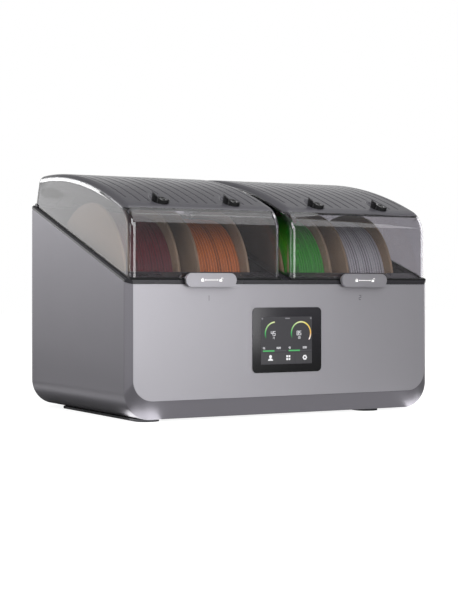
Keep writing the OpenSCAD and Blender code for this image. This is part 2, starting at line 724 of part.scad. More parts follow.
// ---- electronics ----
module display_glass() {
    in_case() color("#0c0c0e") translate([0, -0.8, glass_z]) round_plate(glass_w, glass_h, 5, 2);
}
module display_module() {
    in_case() color("#2b2b2e") translate([0, 1.2, glass_z]) {
        round_plate(glass_w - 2, glass_h - 2, 2, 1.3);
        translate([0, 1.3, 0]) round_plate(glass_w + 8, glass_h + 6, 2, 6);
    }
}
module main_board() {
    in_case() color("#1f5a35") union() {
        translate([-60, 16, 70]) cube([120, 1.6, 66]);
        for (i = [-1, 1], z = [75, 130]) translate([i * 40, 8.5, z]) rotate([-90, 0, 0]) cylinder(r = 2.5, h = 7.6, $fn = fine);
        translate([-50, 17.5, 100]) cube([24, 6, 20]);
        translate([14, 17.5, 84]) cube([16, 3, 16]);
    }
}
module power_supply() {
    in_case() color("#9a9ca0") difference() {
        translate([-85, 12.5, plate_z + plate_t]) cube([170, 52, 26]);
        for (k = [0:13]) translate([-78 + k * 12, 20, plate_z + plate_t + 22]) cube([5, 36, 10]);
    }
}

outer_shell();
front_panel();
rear_panel();
chassis_plate();
foot_left();
foot_right();
tub_left();
tub_right();
rim_frame();
gasket_left();
gasket_right();
hinge_pins_left();
hinge_pins_right();
latch_keeper_left();
latch_keeper_right();
roller_axles_left();
roller_axles_right();
heater_left();
heater_right();
fan_housing_left();
fan_housing_right();
fan_impeller_left();
fan_impeller_right();
display_glass();
display_module();
main_board();
power_supply();
power_inlet();
switch_housing();
switch_rocker();
lid_shell_left();
lid_shell_right();
cover_left();
cover_right();
outlets_left();
outlets_right();
hinge_arms_left();
hinge_arms_right();
latch_base_left();
latch_base_right();
latch_knob_left();
latch_knob_right();
spool_1();
spool_2();
spool_3();
spool_4();
filament_1();
filament_2();
filament_3();
filament_4();
roller_1_front();
roller_1_rear();
roller_2_front();
roller_2_rear();
roller_3_front();
roller_3_rear();
roller_4_front();
roller_4_rear();
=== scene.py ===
"""Filament dryer box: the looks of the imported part, from the case up to the lids.

Sizes are in millimetres. A point is (x, y, z): x to the right from the middle of the case, y back from the face
of the front panel, z up from the floor. placed() turns such points into the frame's metres.
"""
import math

import bmesh
import bpy
import numpy as np
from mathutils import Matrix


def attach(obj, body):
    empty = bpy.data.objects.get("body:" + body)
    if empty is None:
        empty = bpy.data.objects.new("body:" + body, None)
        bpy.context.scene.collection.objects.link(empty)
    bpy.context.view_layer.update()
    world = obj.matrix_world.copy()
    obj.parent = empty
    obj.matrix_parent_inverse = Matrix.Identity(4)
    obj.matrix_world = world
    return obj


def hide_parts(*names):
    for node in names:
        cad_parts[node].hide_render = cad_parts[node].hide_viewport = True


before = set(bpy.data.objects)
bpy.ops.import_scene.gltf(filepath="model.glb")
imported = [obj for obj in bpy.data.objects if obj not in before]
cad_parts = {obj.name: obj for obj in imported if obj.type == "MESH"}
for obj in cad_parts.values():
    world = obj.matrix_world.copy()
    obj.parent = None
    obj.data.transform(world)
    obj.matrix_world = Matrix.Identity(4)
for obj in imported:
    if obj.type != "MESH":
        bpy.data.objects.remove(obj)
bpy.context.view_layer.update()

# ---- case ----
# The wrap-round body is one sheet of aluminium, bent round two long bottom edges, with a bevel that frames the
# front. It is bead-blasted and anodised in a warm silver grey.

CASE_W, CASE_D, FRONT_H, SLOPE = 400.0, 271.0, 149.0, math.radians(19)
FACE_Y = -131.7          # the panel face in the frame
BASE_Z, BOTTOM_R = 2.7, 30.5
BEVEL_W, BEVEL_H = 7.5, 20.7
SHELL_T, LEDGE = 2.5, 4.0


def placed(points):
    """Case millimetres to frame metres: y shifts by the place of the panel face, all is divided by 1000."""
    return (np.asarray(points, float).reshape(-1, 3) + (0, FACE_Y, 0)) / 1000


def linear(code, share=1.0):
    """A colour in sRGB hex, or a share of its light, as the linear RGBA that shaders take.

    Each channel is c / 12.92, or above 0.04045 ((c + 0.055) / 1.055) to the power of 2.4.
    """
    c = np.array([int(code[i:i + 2], 16) for i in (1, 3, 5)]) / 255
    c = np.where(c > 0.04045, ((c + 0.055) / 1.055) ** 2.4, c / 12.92)
    return (*(c * share).tolist(), 1.0)


def node(tree, kind, settings=None, **sockets):
    """Adds a node, sets its own settings, and fills each input by a value or by an output of another node.

    An input is called by its name with _ for a space, or by _ and its number. A node stands for its first output.
    """
    new = tree.nodes.new(kind)
    for key, value in (settings or {}).items():
        setattr(new, key, value)
    for key, value in sockets.items():
        entry = new.inputs[int(key[1:]) if key[1:].isdigit() else key.replace("_", " ")]
        if isinstance(value, bpy.types.Node):
            value = value.outputs[0]
        if isinstance(value, bpy.types.NodeSocket):
            tree.links.new(value, entry)
        else:
            entry.default_value = value
    return new


def finish(name):
    """A new, empty material and its node tree."""
    made = bpy.data.materials.new(name)
    made.use_nodes = True
    made.node_tree.nodes.clear()
    return made, made.node_tree


def quads(rows, cols, ring_rows=False, ring_cols=False):
    """Corner numbers of the quads on a rows by cols grid of points.

    A ring joins the last row or column to the first.
    """
    i = np.arange(rows if ring_rows else rows - 1)[:, None]
    j = np.arange(cols if ring_cols else cols - 1)[None, :]
    a, b = i * cols + j, i * cols + (j + 1) % cols
    c, d = (i + 1) % rows * cols + (j + 1) % cols, (i + 1) % rows * cols + j
    return np.stack(np.broadcast_arrays(a, b, c, d), -1).reshape(-1, 4)


def piece(name, points, faces, material, body, slot, stands_for=(), smooth=True):
    """A mesh piece from case points and lists of corner numbers, turned outwards by the sign of its volume."""
    mesh = bpy.data.meshes.new(name)
    mesh.from_pydata(placed(points).tolist(), [], [list(map(int, f)) for f in faces])
    if volume(mesh) < 0:
        mesh.flip_normals()
    made = bpy.data.objects.new(name, mesh)
    bpy.context.scene.collection.objects.link(made)
    mesh.materials.append(material)
    mesh.polygons.foreach_set("use_smooth", np.full(len(mesh.polygons), smooth))
    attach(made, body)
    if stands_for:
        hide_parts(*stands_for)
    return made


def volume(mesh):
    """Signed volume of a mesh: the sum over its triangles of a . (b x c) / 6."""
    mesh.calc_loop_triangles()
    corners = np.empty(len(mesh.loop_triangles) * 3, int)
    mesh.loop_triangles.foreach_get("vertices", corners)
    co = np.empty(len(mesh.vertices) * 3)
    mesh.vertices.foreach_get("co", co)
    a, b, c = co.reshape(-1, 3)[corners].reshape(-1, 3, 3).transpose(1, 0, 2)
    return float((a * np.cross(b, c)).sum() / 6)


def soften(made, width, steps=2, angle=30):
    """Rounds every edge sharper than the angle with a small bevel of that width in millimetres."""
    bevel = made.modifiers.new("edges", "BEVEL")
    bevel.width, bevel.segments = width / 1000, steps
    bevel.limit_method, bevel.angle_limit = "ANGLE", math.radians(angle)
    bevel.harden_normals = True


def prism(outline, y0, y1):
    """Points and faces of a flat outline (x, z) run from y0 to y1: two end polygons and a strip of quads."""
    n = len(outline)
    ends = [np.column_stack([outline[:, 0], np.full(n, y), outline[:, 1]]) for y in (y0, y1)]
    return np.concatenate(ends), [range(n), range(2 * n - 1, n - 1, -1), *quads(2, n, ring_cols=True)]


def join(*parts):
    """Several (points, faces) as one."""
    points, faces, start = [], [], 0
    for p, f in parts:
        p = np.asarray(p, float).reshape(-1, 3)
        points.append(p)
        faces += [[int(k) + start for k in face] for face in f]
        start += len(p)
    return np.concatenate(points), faces


def block(low, high):
    """A box from its two corners."""
    (x0, y0, z0), (x1, y1, z1) = low, high
    return prism(np.array([[x0, z0], [x1, z0], [x1, z1], [x0, z1]], float), y0, y1)


def cut(made, points, faces):
    """Cuts closed shapes out of a piece at once."""
    tool = piece("cutter", points, faces, made.data.materials[0], "case", "silver_shell")
    boolean = made.modifiers.new("cut", "BOOLEAN")
    boolean.operation, boolean.solver, boolean.object = "DIFFERENCE", "EXACT", tool
    done = bpy.data.meshes.new_from_object(made.evaluated_get(bpy.context.evaluated_depsgraph_get()))
    made.modifiers.remove(boolean)
    made.data = done
    bpy.data.objects.remove(tool)


def anodised(name, colour, roughness):
    """Anodised aluminium, bead-blasted: soft metal gloss, a fine grain in height and faint clouds in gloss."""
    made, tree = finish(name)
    place = node(tree, "ShaderNodeTexCoord").outputs["Object"]
    # grit of about 0.5 mm, drawn coarser than the real 0.1 mm so that it shows
    grain = node(tree, "ShaderNodeTexNoise", Vector=place, Scale=1900, Detail=2)
    cloud = node(tree, "ShaderNodeTexNoise", Vector=place, Scale=9, Detail=2)
    gloss = node(tree, "ShaderNodeMapRange", Value=cloud, _1=0.3, _2=0.7, _3=roughness - 0.015,
                 _4=roughness + 0.015)
    bump = node(tree, "ShaderNodeBump", Height=grain, Strength=0.08, Distance=0.0002)
    tone = node(tree, "ShaderNodeMix", {"data_type": "RGBA"}, _0=grain, _6=linear(colour),
                _7=linear(colour, 0.94))
    shader = node(tree, "ShaderNodeBsdfPrincipled", Base_Color=tone.outputs[2], Metallic=0.8,
                  Roughness=gloss, Normal=bump)
    node(tree, "ShaderNodeOutputMaterial", Surface=shader)
    return made


def rim_z(y):
    """Height of the sloping edge of the case at y."""
    return FRONT_H + y * math.tan(SLOPE)


def hoop(y, half, low, radius):
    """Hoops of the case in front view, one for each value in the arguments.

    A hoop runs down the left side, round each lower corner by a quarter circle, and up the right side.
    """
    y, half, low, radius = (np.asarray(v, float)[:, None] for v in (y, half, low, radius))
    t = np.linspace(0, 1, 5)[None, :-1]
    a = np.radians(np.linspace(180, 270, 19))[None]
    side_x, side_z = -half + 0 * t, rim_z(y) + (low + radius - rim_z(y)) * t
    turn_x, turn_z = -half + radius * (1 + np.cos(a)), low + radius * (1 + np.sin(a))
    x = np.concatenate([side_x, turn_x, -turn_x[:, ::-1], -side_x[:, ::-1]], 1)
    z = np.concatenate([side_z, turn_z, turn_z[:, ::-1], side_z[:, ::-1]], 1)
    return np.stack([x, y + 0 * x, z], -1)


silver = anodised("anodised_silver_body", "#7b797f", 0.4)

half, panel_half = CASE_W / 2, CASE_W / 2 - BEVEL_W
panel_z, panel_r = BASE_Z + BEVEL_H, BOTTOM_R - BEVEL_W
seat_y, inner_y = SHELL_T + 0.1, BEVEL_W + 1
# y, half width, lowest z and corner radius of each hoop: along the outside, over the bevel to the seat of the
# panel, and back along the inside
stations = np.array([
    [CASE_D, half, BASE_Z, BOTTOM_R],
    [180, half, BASE_Z, BOTTOM_R],
    [90, half, BASE_Z, BOTTOM_R],
    [BEVEL_W, half, BASE_Z, BOTTOM_R],
    [0, panel_half, panel_z, panel_r],
    [seat_y, panel_half, panel_z, panel_r],
    [seat_y, panel_half - LEDGE, panel_z + LEDGE, panel_r - LEDGE],
    [inner_y, panel_half - LEDGE, panel_z + LEDGE, panel_r - LEDGE],
    [inner_y, half - SHELL_T, BASE_Z + SHELL_T, BOTTOM_R - SHELL_T],
    [CASE_D, half - SHELL_T, BASE_Z + SHELL_T, BOTTOM_R - SHELL_T],
])
hoops = hoop(*stations.T)
rows, cols = hoops.shape[:2]
ends = [[r * cols + c for r in range(rows)] for c in (0, cols - 1)]
shell = piece("case_shell", hoops, [*quads(rows, cols, ring_rows=True), ends[0], ends[1][::-1]],
              silver, "case", "silver_shell", ["outer_shell"])
LID_W, LID_GAP = 191.05, 11.7
LID_X = (LID_W + LID_GAP) / 2
# air slots in the floor, eight under each chamber
SLOTS, SLOT_PITCH, SLOT_W, FIRST_SLOT = 8, 11, 4, -40
SLOT_Y0, SLOT_Y1 = 85, 175
slot_xs = [side * LID_X + FIRST_SLOT + k * SLOT_PITCH for side in (-1, 1) for k in range(SLOTS)]
cut(shell, *join(*[block((x, SLOT_Y0, 0), (x + SLOT_W, SLOT_Y1, 6)) for x in slot_xs]))
soften(shell, 0.7, 3)

# ---- front panel ----
# A flat lighter plate of the same anodised aluminium, set flush into the bevel, with a window for the screen.
# The two chamber numbers are laser-marked into it.

PANEL_T, PANEL_GAP = 2.4, 0.12
GLASS_W, GLASS_H, GLASS_Z, GLASS_R, GLASS_GAP = 90.4, 72.5, 86.4, 5, 0.2
GLASS_FRONT, GLASS_BACK = -0.8, 1.2


def rounded_rect(w, h, r, centre=(0, 0), steps=8):
    """Outline of a rectangle whose corners are quarter circles of radius r."""
    a = np.radians(np.linspace(0, 90, steps + 1))
    quarter = np.stack([np.cos(a), np.sin(a)], -1) * r
    turns = []
    for sx, sy, c, s in ((1, 1, 1, 0), (-1, 1, 0, 1), (-1, -1, -1, 0), (1, -1, 0, -1)):
        turns.append(quarter @ np.array([[c, s], [-s, c]]) + [sx * (w / 2 - r), sy * (h / 2 - r)])
    return np.concatenate(turns) + centre


panel_silver = anodised("anodised_silver_panel", "#b4b2b8", 0.40)
a = np.radians(np.linspace(180, 270, 17))
edge, low, top = panel_half - PANEL_GAP, panel_z + PANEL_GAP, FRONT_H - 0.05
corner = np.stack([-edge + panel_r + panel_r * np.cos(a), low + panel_r + panel_r * np.sin(a)], -1)
outline = np.concatenate([[[-edge, top]], corner, corner[::-1] * [-1, 1], [[edge, top]]])
panel = piece("front_plate", *prism(outline, 0, PANEL_T), panel_silver, "case", "silver_panel", ["front_panel"])
hole = rounded_rect(GLASS_W + 2 * GLASS_GAP, GLASS_H + 2 * GLASS_GAP, GLASS_R + GLASS_GAP, (0, GLASS_Z))
cut(panel, *prism(hole, -2, 6))
soften(panel, 0.3, 2)

# the laser burns the anodised layer to a dull, darker grey
mark_grey, tree = finish("laser_marking")
shader = node(tree, "ShaderNodeBsdfPrincipled", Base_Color=linear("#6a696e"), Roughness=0.6, Metallic=0.3)
node(tree, "ShaderNodeOutputMaterial", Surface=shader)


def strokes(lines, width, y0, y1):
    """Straight strokes (x0, z0, x1, z1) of one width as a set of thin blocks, a rectangle along each line."""
    made = []
    for x0, z0, x1, z1 in lines:
        along = np.array([x1 - x0, z1 - z0], float)
        along *= width / 2 / np.hypot(*along)
        across = np.array([-along[1], along[0]])
        p, q = np.array([x0, z0]) - along, np.array([x1, z1]) + along
        made.append(prism(np.array([p - across, q - across, q + across, p + across]), y0, y1))
    return join(*made)


# seven-stroke figures on a 1 by 2 field
STROKE = {"a": (0, 2, 1, 2), "b": (1, 1, 1, 2), "c": (1, 0, 1, 1), "d": (0, 0, 1, 0), "e": (0, 0, 0, 1),
          "f": (0, 1, 0, 2), "g": (0, 1, 1, 1)}
FIGURE = {"0": "abcdef", "1": "bc", "2": "abged", "3": "abgcd", "4": "fgbc", "5": "afgcd", "6": "afgedc",
          "7": "abc", "8": "abcdefg"}
FIGURE_GAP = 0.45        # between two figures, as a share of their width


def figures(text, x, z, height):
    """The strokes of a number that starts at x, z, each figure half as wide as it is high."""
    s = height / 2
    lines = []
    for k, sign in enumerate(text):
        left = x + k * s * (1 + FIGURE_GAP)
        for x0, z0, x1, z1 in (STROKE[letter] for letter in FIGURE[sign]):
            lines.append((left + x0 * s, z + z0 * s, left + x1 * s, z + z1 * s))
    return lines


MARK_Z, MARK_H, MARK_W = 131.2, 5.2, 0.55
for text, x in (("1", -103.2), ("2", 98.6)):
    mark = strokes(figures(text, x, MARK_Z, MARK_H), MARK_W, -0.06, 0.2)
    piece(f"chamber_mark_{text}", *mark, mark_grey, "case", "silver_panel")

# ---- screen ----
# A black glass plate over a colour display, lit from behind. It shows a gauge and a bar for each chamber
# and three keys, all drawn by the display.

glass_black, tree = finish("printed_black_glass_painted_sheen")
place = node(tree, "ShaderNodeTexCoord").outputs["Object"]
height = node(tree, "ShaderNodeSeparateXYZ", Vector=place).outputs[2]
# painted sheen: the printed back is painted a little lighter towards the top, in place of the light that the
# glass reflects there
painted_sheen = node(tree, "ShaderNodeMapRange", Value=height, _1=0.050, _2=0.123, _3=0, _4=1)
tone = node(tree, "ShaderNodeMix", {"data_type": "RGBA"}, _0=painted_sheen, _6=linear("#060607"), _7=linear("#2c2b2f"))
shader = node(tree, "ShaderNodeBsdfPrincipled", Base_Color=tone.outputs[2], Roughness=0.12, IOR=1.52)
node(tree, "ShaderNodeOutputMaterial", Surface=shader)
plate = rounded_rect(GLASS_W, GLASS_H, GLASS_R, (0, GLASS_Z))
glass = piece("screen_glass", *prism(plate, GLASS_FRONT, GLASS_BACK), glass_black, "case", "black_glass",
              ["display_glass"])
soften(glass, 0.4, 3)


def disc(x, z, r, y0, y1, n=24):
    """A round or, with n corners, a many-sided plate."""
    a = np.radians(np.arange(n) * 360 / n)
    return prism(np.stack([x + r * np.cos(a), z + r * np.sin(a)], -1), y0, y1)


def bar(x0, z0, x1, z1, y0, y1):
    """A flat rectangle."""
    return block((x0, y0, z0), (x1, y1, z1))


SCREEN_Y, LAYER = GLASS_FRONT - 0.04, 0.03        # the lit pixels stand just proud of the glass, in thin layers


def depths(layer):
    """Front and back of a layer of the display, counted from the glass outwards."""
    back = SCREEN_Y - LAYER * (layer - 1)
    return back - LAYER, back


def lit(name, colour, parts, strength=1.0):
    """One colour of the display as one thin piece. It leaves the pixels as light, under the glass's gloss."""
    made, tree = finish(f"display_light_{name}")
    shader = node(tree, "ShaderNodeBsdfPrincipled", Base_Color=linear("#101011"), Roughness=0.3,
                  Emission_Color=linear(colour), Emission_Strength=strength)
    node(tree, "ShaderNodeOutputMaterial", Surface=shader)
    piece(f"display_{name}", *join(*parts), made, "case", "black_glass", smooth=False)


BAR_XS, KEY_XS = (-32.3, 1.5), (-34.5, -11.9, 10.7)
lit("ground", "#3a393d", [bar(-34.9, 59, 32.8, 112.5, *depths(1))], 0.9)
lit("keys", "#4a494c", [bar(x, 60.2, x + 21.8, 71.8, *depths(2)) for x in KEY_XS], 0.7)
lit("tracks", "#55545a", [bar(x, 73.8, x + 30.8, 74.4, *depths(2)) for x in BAR_XS])
lit("bars", "#4fb868", [bar(x, 73.4, x + 15, 74.9, *depths(3)) for x in BAR_XS])
# number, x, z, height and width of stroke
READINGS = (("45", -21.6, 91.6, 4.4, 0.62), ("85", 12.6, 91.6, 4.4, 0.62), ("17", -20.0, 87.6, 2.2, 0.36),
            ("20", 14.4, 87.6, 2.2, 0.36), ("40", -32.2, 76.4, 1.9, 0.34), ("0028", -14.2, 76.4, 1.9, 0.34),
            ("40", 1.7, 76.4, 1.9, 0.34), ("0036", 20.6, 76.4, 1.9, 0.34))
lit("figures", "#e6e6ea", [strokes(figures(*number), width, *depths(3)) for *number, width in READINGS])
# a person, four tiles and a nut
PERSON_X, NUT_X, NUT_Z = -22.4, 23.2, 66
a = np.radians(np.linspace(0, 180, 13))
shoulders = np.stack([PERSON_X + 3.3 * np.cos(a), 63.2 + 2.6 * np.sin(a)], -1)
lit("icons", "#f2f2f4", [
    disc(PERSON_X, 67.7, 1.9, *depths(3)),
    prism(shoulders, *depths(3)),
    *[bar(x, z, x + 2.3, z + 2.3, *depths(3)) for x in (-1.6, 1.4) for z in (63.4, 66.6)],
    disc(NUT_X, NUT_Z, 3.1, *depths(3), 6),
])
lit("key_hole", "#2b2a2d", [disc(NUT_X, NUT_Z, 1.15, *depths(4), 16)])
lit("head_line", "#8a898e", [bar(*line, *depths(2)) for line in (
    (-34, 109.6, -32.2, 111.4), (30.4, 109.6, 32.2, 111.4), (-3, 110, 3, 111.2))])

# the gauges' pixels go from dark green through yellow to red along the scale
gauge_light, tree = finish("display_light_gauges")
along = node(tree, "ShaderNodeAttribute", {"attribute_name": "along"}).outputs["Fac"]
scale = node(tree, "ShaderNodeValToRGB", Fac=along)
for spot, code in ((0.0, "#2c3a30"), (0.12, "#3cae5c"), (0.45, "#e4ecae"), (0.62, "#f0dc6c"), (0.85, "#efb75c"),
                   (1.0, "#dd6a74")):
    scale.color_ramp.elements.new(spot).color = linear(code)
scale.color_ramp.elements.remove(scale.color_ramp.elements[0])
shader = node(tree, "ShaderNodeBsdfPrincipled", Base_Color=linear("#101011"), Roughness=0.3,
              Emission_Color=scale, Emission_Strength=1.0)
node(tree, "ShaderNodeOutputMaterial", Surface=shader)

GAUGE_Z, GAUGE_R, GAUGE_W, GAUGE_START, FULL_SCALE = 93.6, 12.9, 1.5, 205, 240


def gauge(name, x, stop):
    """A ring gauge: a flat band along a circle, clockwise to stop degrees, with narrow ends.

    Its attribute "along" runs from 0 to 1 over a full scale.
    """
    n = 40
    a = np.radians(np.linspace(GAUGE_START, stop, n))
    share = (math.radians(GAUGE_START) - a) / math.radians(FULL_SCALE)
    w = GAUGE_W / 2 * np.where(np.arange(n) % (n - 1) == 0, 0.5, 1)
    inner, outer, front = GAUGE_R - w, GAUGE_R + w, SCREEN_Y - 3 * LAYER
    rings = [np.stack([x + r * np.cos(a), np.full(n, y), GAUGE_Z + r * np.sin(a)], -1)
             for r, y in ((outer, SCREEN_Y), (outer, front), (inner, front), (inner, SCREEN_Y))]
    faces = [*quads(n, 4, ring_cols=True), range(3, -1, -1), range(4 * n - 4, 4 * n)]
    made = piece(name, np.stack(rings, 1), faces, gauge_light, "case", "black_glass", smooth=False)
    attribute = made.data.attributes.new("along", "FLOAT", "POINT")
    attribute.data.foreach_set("value", np.repeat(share, 4).astype(np.float32))


gauge("display_gauge_1", -16.3, 92)
gauge("display_gauge_2", 18.1, -36)

# ---- rim and seals ----
# A frame of dark grey ABS lies on the sloping edge of the case. Its outer edges are bevelled and glossy from
# the mould. On it lies a black rubber seal for each lid.


def moulded(name, colour, roughness, grain_mm=0.6, bump=0.05):
    """A moulded plastic or rubber: an even colour, a spark-eroded grain in height, slight changes of gloss."""
    made, tree = finish(name)
    place = node(tree, "ShaderNodeTexCoord").outputs["Object"]
    grain = node(tree, "ShaderNodeTexNoise", Vector=place, Scale=1000 / grain_mm, Detail=2)
    cloud = node(tree, "ShaderNodeTexNoise", Vector=place, Scale=14, Detail=3)
    gloss = node(tree, "ShaderNodeMapRange", Value=cloud, _1=0.3, _2=0.7, _3=roughness * 0.92,
                 _4=roughness * 1.08)
    tone = node(tree, "ShaderNodeMix", {"data_type": "RGBA"}, _0=cloud, _6=linear(colour),
                _7=linear(colour, 0.9))
    raised = node(tree, "ShaderNodeBump", Height=grain, Strength=bump, Distance=0.0002)
    shader = node(tree, "ShaderNodeBsdfPrincipled", Base_Color=tone.outputs[2], Roughness=gloss,
                  IOR=1.5, Normal=raised)
    node(tree, "ShaderNodeOutputMaterial", Surface=shader)
    return made


def dress(material, *names):
    """Gives CAD nodes a material in place of their plain one."""
    for name in names:
        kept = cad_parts[name]
        kept.data.materials.clear()
        kept.data.materials.append(material)


dark_abs = moulded("abs_dark_grey_rim", "#2b2a2e", 0.28, bump=0.015)
dress(dark_abs, "rim_frame", "latch_keeper_left", "latch_keeper_right")
dress(moulded("rubber_seal_black", "#101012", 0.55), "gasket_left", "gasket_right")

# ---- tubs ----
# Each chamber is a vacuum-moulded tub of dark ABS. It holds two steel axles with four white acetal rollers, on
# which the spools turn.

dress(moulded("abs_dark_tub", "#2f2e32", 0.4, bump=0.02), "tub_left", "tub_right")
dress(moulded("acetal_white_rollers", "#d9d9d4", 0.3),
      *[f"roller_{k}_{place}" for k in range(1, 5) for place in ("front", "rear")])


def turned_steel(name, colour, roughness):
    """Bright drawn steel: metal gloss with fine lines along its length."""
    made, tree = finish(name)
    place = node(tree, "ShaderNodeTexCoord").outputs["Object"]
    stretched = node(tree, "ShaderNodeMapping", Vector=place, Scale=(40, 2500, 2500))
    lines = node(tree, "ShaderNodeTexNoise", Vector=stretched, Scale=1, Detail=2)
    gloss = node(tree, "ShaderNodeMapRange", Value=lines, _3=roughness * 0.8, _4=roughness * 1.3)
    shader = node(tree, "ShaderNodeBsdfPrincipled", Base_Color=linear(colour), Metallic=1.0, Roughness=gloss)
    node(tree, "ShaderNodeOutputMaterial", Surface=shader)
    return made


dress(turned_steel("drawn_steel_pins", "#c6c6c9", 0.25),
      "roller_axles_left", "roller_axles_right", "hinge_pins_left", "hinge_pins_right")

# ---- spools ----
# Card spools for 1 kg of filament: two flanges of brown kraft board glued on a card tube. The board is rough and
# speckled with darker fibres.

SPOOL_R, SPOOL_W, HUB_R, CORE_R, FLANGE_T = 99.5, 68.0, 27.0, 42.0, 3.5
SPOOL_PITCH, SPOOL_Y, SPOOL_Z = 89.5, 143.2, 144.0
SPOOL_STEPS = 120
SPOOL_X = [side * LID_X + place * SPOOL_PITCH / 2 for side in (-1, 1) for place in (-1, 1)]

kraft, tree = finish("kraft_board")
place = node(tree, "ShaderNodeTexCoord").outputs["Object"]
fibre = node(tree, "ShaderNodeTexNoise", Vector=place, Scale=700, Detail=5, Roughness=0.7)
patch = node(tree, "ShaderNodeTexNoise", Vector=place, Scale=30, Detail=4)
# speckle of darker fibres
speck = node(tree, "ShaderNodeTexNoise", Vector=place, Scale=420, Detail=1)
dark = node(tree, "ShaderNodeMapRange", Value=speck, _1=0.62, _2=0.7, _3=0, _4=0.5)
base = node(tree, "ShaderNodeMix", {"data_type": "RGBA"}, _0=patch, _6=linear("#a08a70"), _7=linear("#8c765e"))
tone = node(tree, "ShaderNodeMix", {"data_type": "RGBA"}, _0=dark, _6=base.outputs[2], _7=linear("#6f5a42"))
raised = node(tree, "ShaderNodeBump", Height=fibre, Strength=0.25, Distance=0.0003)
shader = node(tree, "ShaderNodeBsdfPrincipled", Base_Color=tone.outputs[2], Roughness=0.82, Normal=raised)
node(tree, "ShaderNodeOutputMaterial", Surface=shader)


def turned(profile, x, wobble=None):
    """A closed profile (distance along the axis, radius) turned about the axis of the spool at x."""
    a = np.linspace(0, 2 * np.pi, SPOOL_STEPS, endpoint=False)[None, :]
    along, radius = profile[:, 0][:, None], profile[:, 1][:, None]
    if wobble is not None:
        radius = radius + wobble(along, a)
    points = np.stack([x + along + 0 * a, SPOOL_Y + radius * np.cos(a), SPOOL_Z + radius * np.sin(a)], -1)
    return points, quads(len(profile), SPOOL_STEPS, ring_rows=True, ring_cols=True)


# one flange from the bore up its outer face, round its edge and down its inner face to the core, with a ring of
# points half way up each face; the other flange is its mirror
outer, inner, e = SPOOL_W / 2, SPOOL_W / 2 - FLANGE_T, 0.5
flange = np.array([
    [-outer, HUB_R + e], [-outer, 60], [-outer, SPOOL_R - e], [-outer + e, SPOOL_R],
    [-inner - e, SPOOL_R], [-inner, SPOOL_R - e], [-inner, 70], [-inner, CORE_R]])
spool_profile = np.concatenate([flange, flange[::-1] * (-1, 1), [[outer - e, HUB_R], [-outer + e, HUB_R]]])

for k, x in enumerate(SPOOL_X, 1):
    made = piece(f"card_spool_{k}", *turned(spool_profile, x), kraft, f"spool_{k}", "kraft", [f"spool_{k}"])
    soften(made, 0.3, 1, 50)

# ---- filament ----
# Four windings of 1.75 mm plastic filament. Every other turn lies lower, in the groove between its neighbours,
# and a few have slipped. The plastic is satin with fine lines along the strand.

STRAND, CLEAR = 1.75, 0.15
# name, colour and outer radius of each winding
FILAMENTS = [("maroon", "#7a2430", 88.5), ("orange", "#f08a44", 85.5), ("green", "#35b52c", 90.0),
             ("grey", "#cfced2", 87.0)]
NESTED, SLIPPED = 0.65, 0.3          # how far every other turn and a slipped turn lie below the rest
rng = np.random.default_rng(7)


def winding(fill_r):
    """Profile of the wound strands, and how each turn wobbles round the axis as it climbs from gap to gap.

    The profile is half circles of the strand's radius side by side, each turn at a height of its own. The
    wobble takes depth x (1 + sin(2 angle + phase)) / 2 off the radius.
    """
    half = SPOOL_W / 2 - FLANGE_T - CLEAR
    turns = int(2 * half / STRAND)
    pitch = 2 * half / turns
    lift = rng.normal(0, 0.12, turns).clip(-0.3, 0.3)
    lift[1::2] -= NESTED
    lift[rng.choice(turns, turns // 8, replace=False)] -= SLIPPED
    a = np.radians([172, 140, 112, 90, 68, 40, 8])
    centre = -half + (np.arange(turns) + 0.5) * pitch
    along = centre[:, None] + pitch / 2 * np.cos(a)[None]
    radius = fill_r - STRAND / 2 + lift[:, None] + STRAND / 2 * np.sin(a)[None]
    top = np.stack([along.ravel(), radius.ravel()], -1)
    foot = [[-half, CORE_R + CLEAR], [-half, fill_r - 3]]
    profile = np.concatenate([foot, top, [[half, fill_r - 3], [half, CORE_R + CLEAR]]])
    phase = np.repeat(rng.uniform(0, 2 * np.pi, turns), len(a))
    depth = np.concatenate([[0, 0], np.repeat(rng.uniform(0.05, 0.3, turns), len(a)), [0, 0]])[:, None]
    phase = np.concatenate([[0, 0], phase, [0, 0]])[:, None]
    return profile, lambda along, angle: -depth * (1 + np.sin(angle * 2 + phase)) / 2


for k, (colour, code, fill_r) in enumerate(FILAMENTS):
    made, tree = finish(f"filament_{colour}")
    place = node(tree, "ShaderNodeTexCoord").outputs["Object"]
    streak = node(tree, "ShaderNodeMapping", Vector=place, Scale=(1400, 60, 60))
    lines = node(tree, "ShaderNodeTexNoise", Vector=streak, Scale=1, Detail=2)
    tone = node(tree, "ShaderNodeMix", {"data_type": "RGBA"}, _0=lines, _6=linear(code), _7=linear(code, 0.8))
    # painted shade: the colour darkens in the gaps between the turns, where little light reaches
    gap_shade = node(tree, "ShaderNodeAttribute", {"attribute_name": "gap_shade"}).outputs["Fac"]
    shade = node(tree, "ShaderNodeMix", {"data_type": "RGBA"}, _0=gap_shade, _6=tone.outputs[2],
                 _7=linear(code, 0.12))
    raised = node(tree, "ShaderNodeBump", Height=lines, Strength=0.15, Distance=0.0002)
    shader = node(tree, "ShaderNodeBsdfPrincipled", Base_Color=shade.outputs[2], Roughness=0.38, IOR=1.46,
                  Normal=raised)
    node(tree, "ShaderNodeOutputMaterial", Surface=shader)
    profile, wobble = winding(fill_r)
    wound = piece(f"winding_{k + 1}", *turned(profile, SPOOL_X[k], wobble), made, f"spool_{k + 1}",
                  f"filament_{colour}", [f"filament_{k + 1}"])
    # how deep each point lies below the top of its winding, which sets the painted shade
    attribute = wound.data.attributes.new("gap_shade", "FLOAT", "POINT")
    depth = np.clip((fill_r - 0.35 - profile[:, 1]) / 0.9, 0, 1)
    attribute.data.foreach_set("value", np.repeat(depth, SPOOL_STEPS).astype(np.float32))

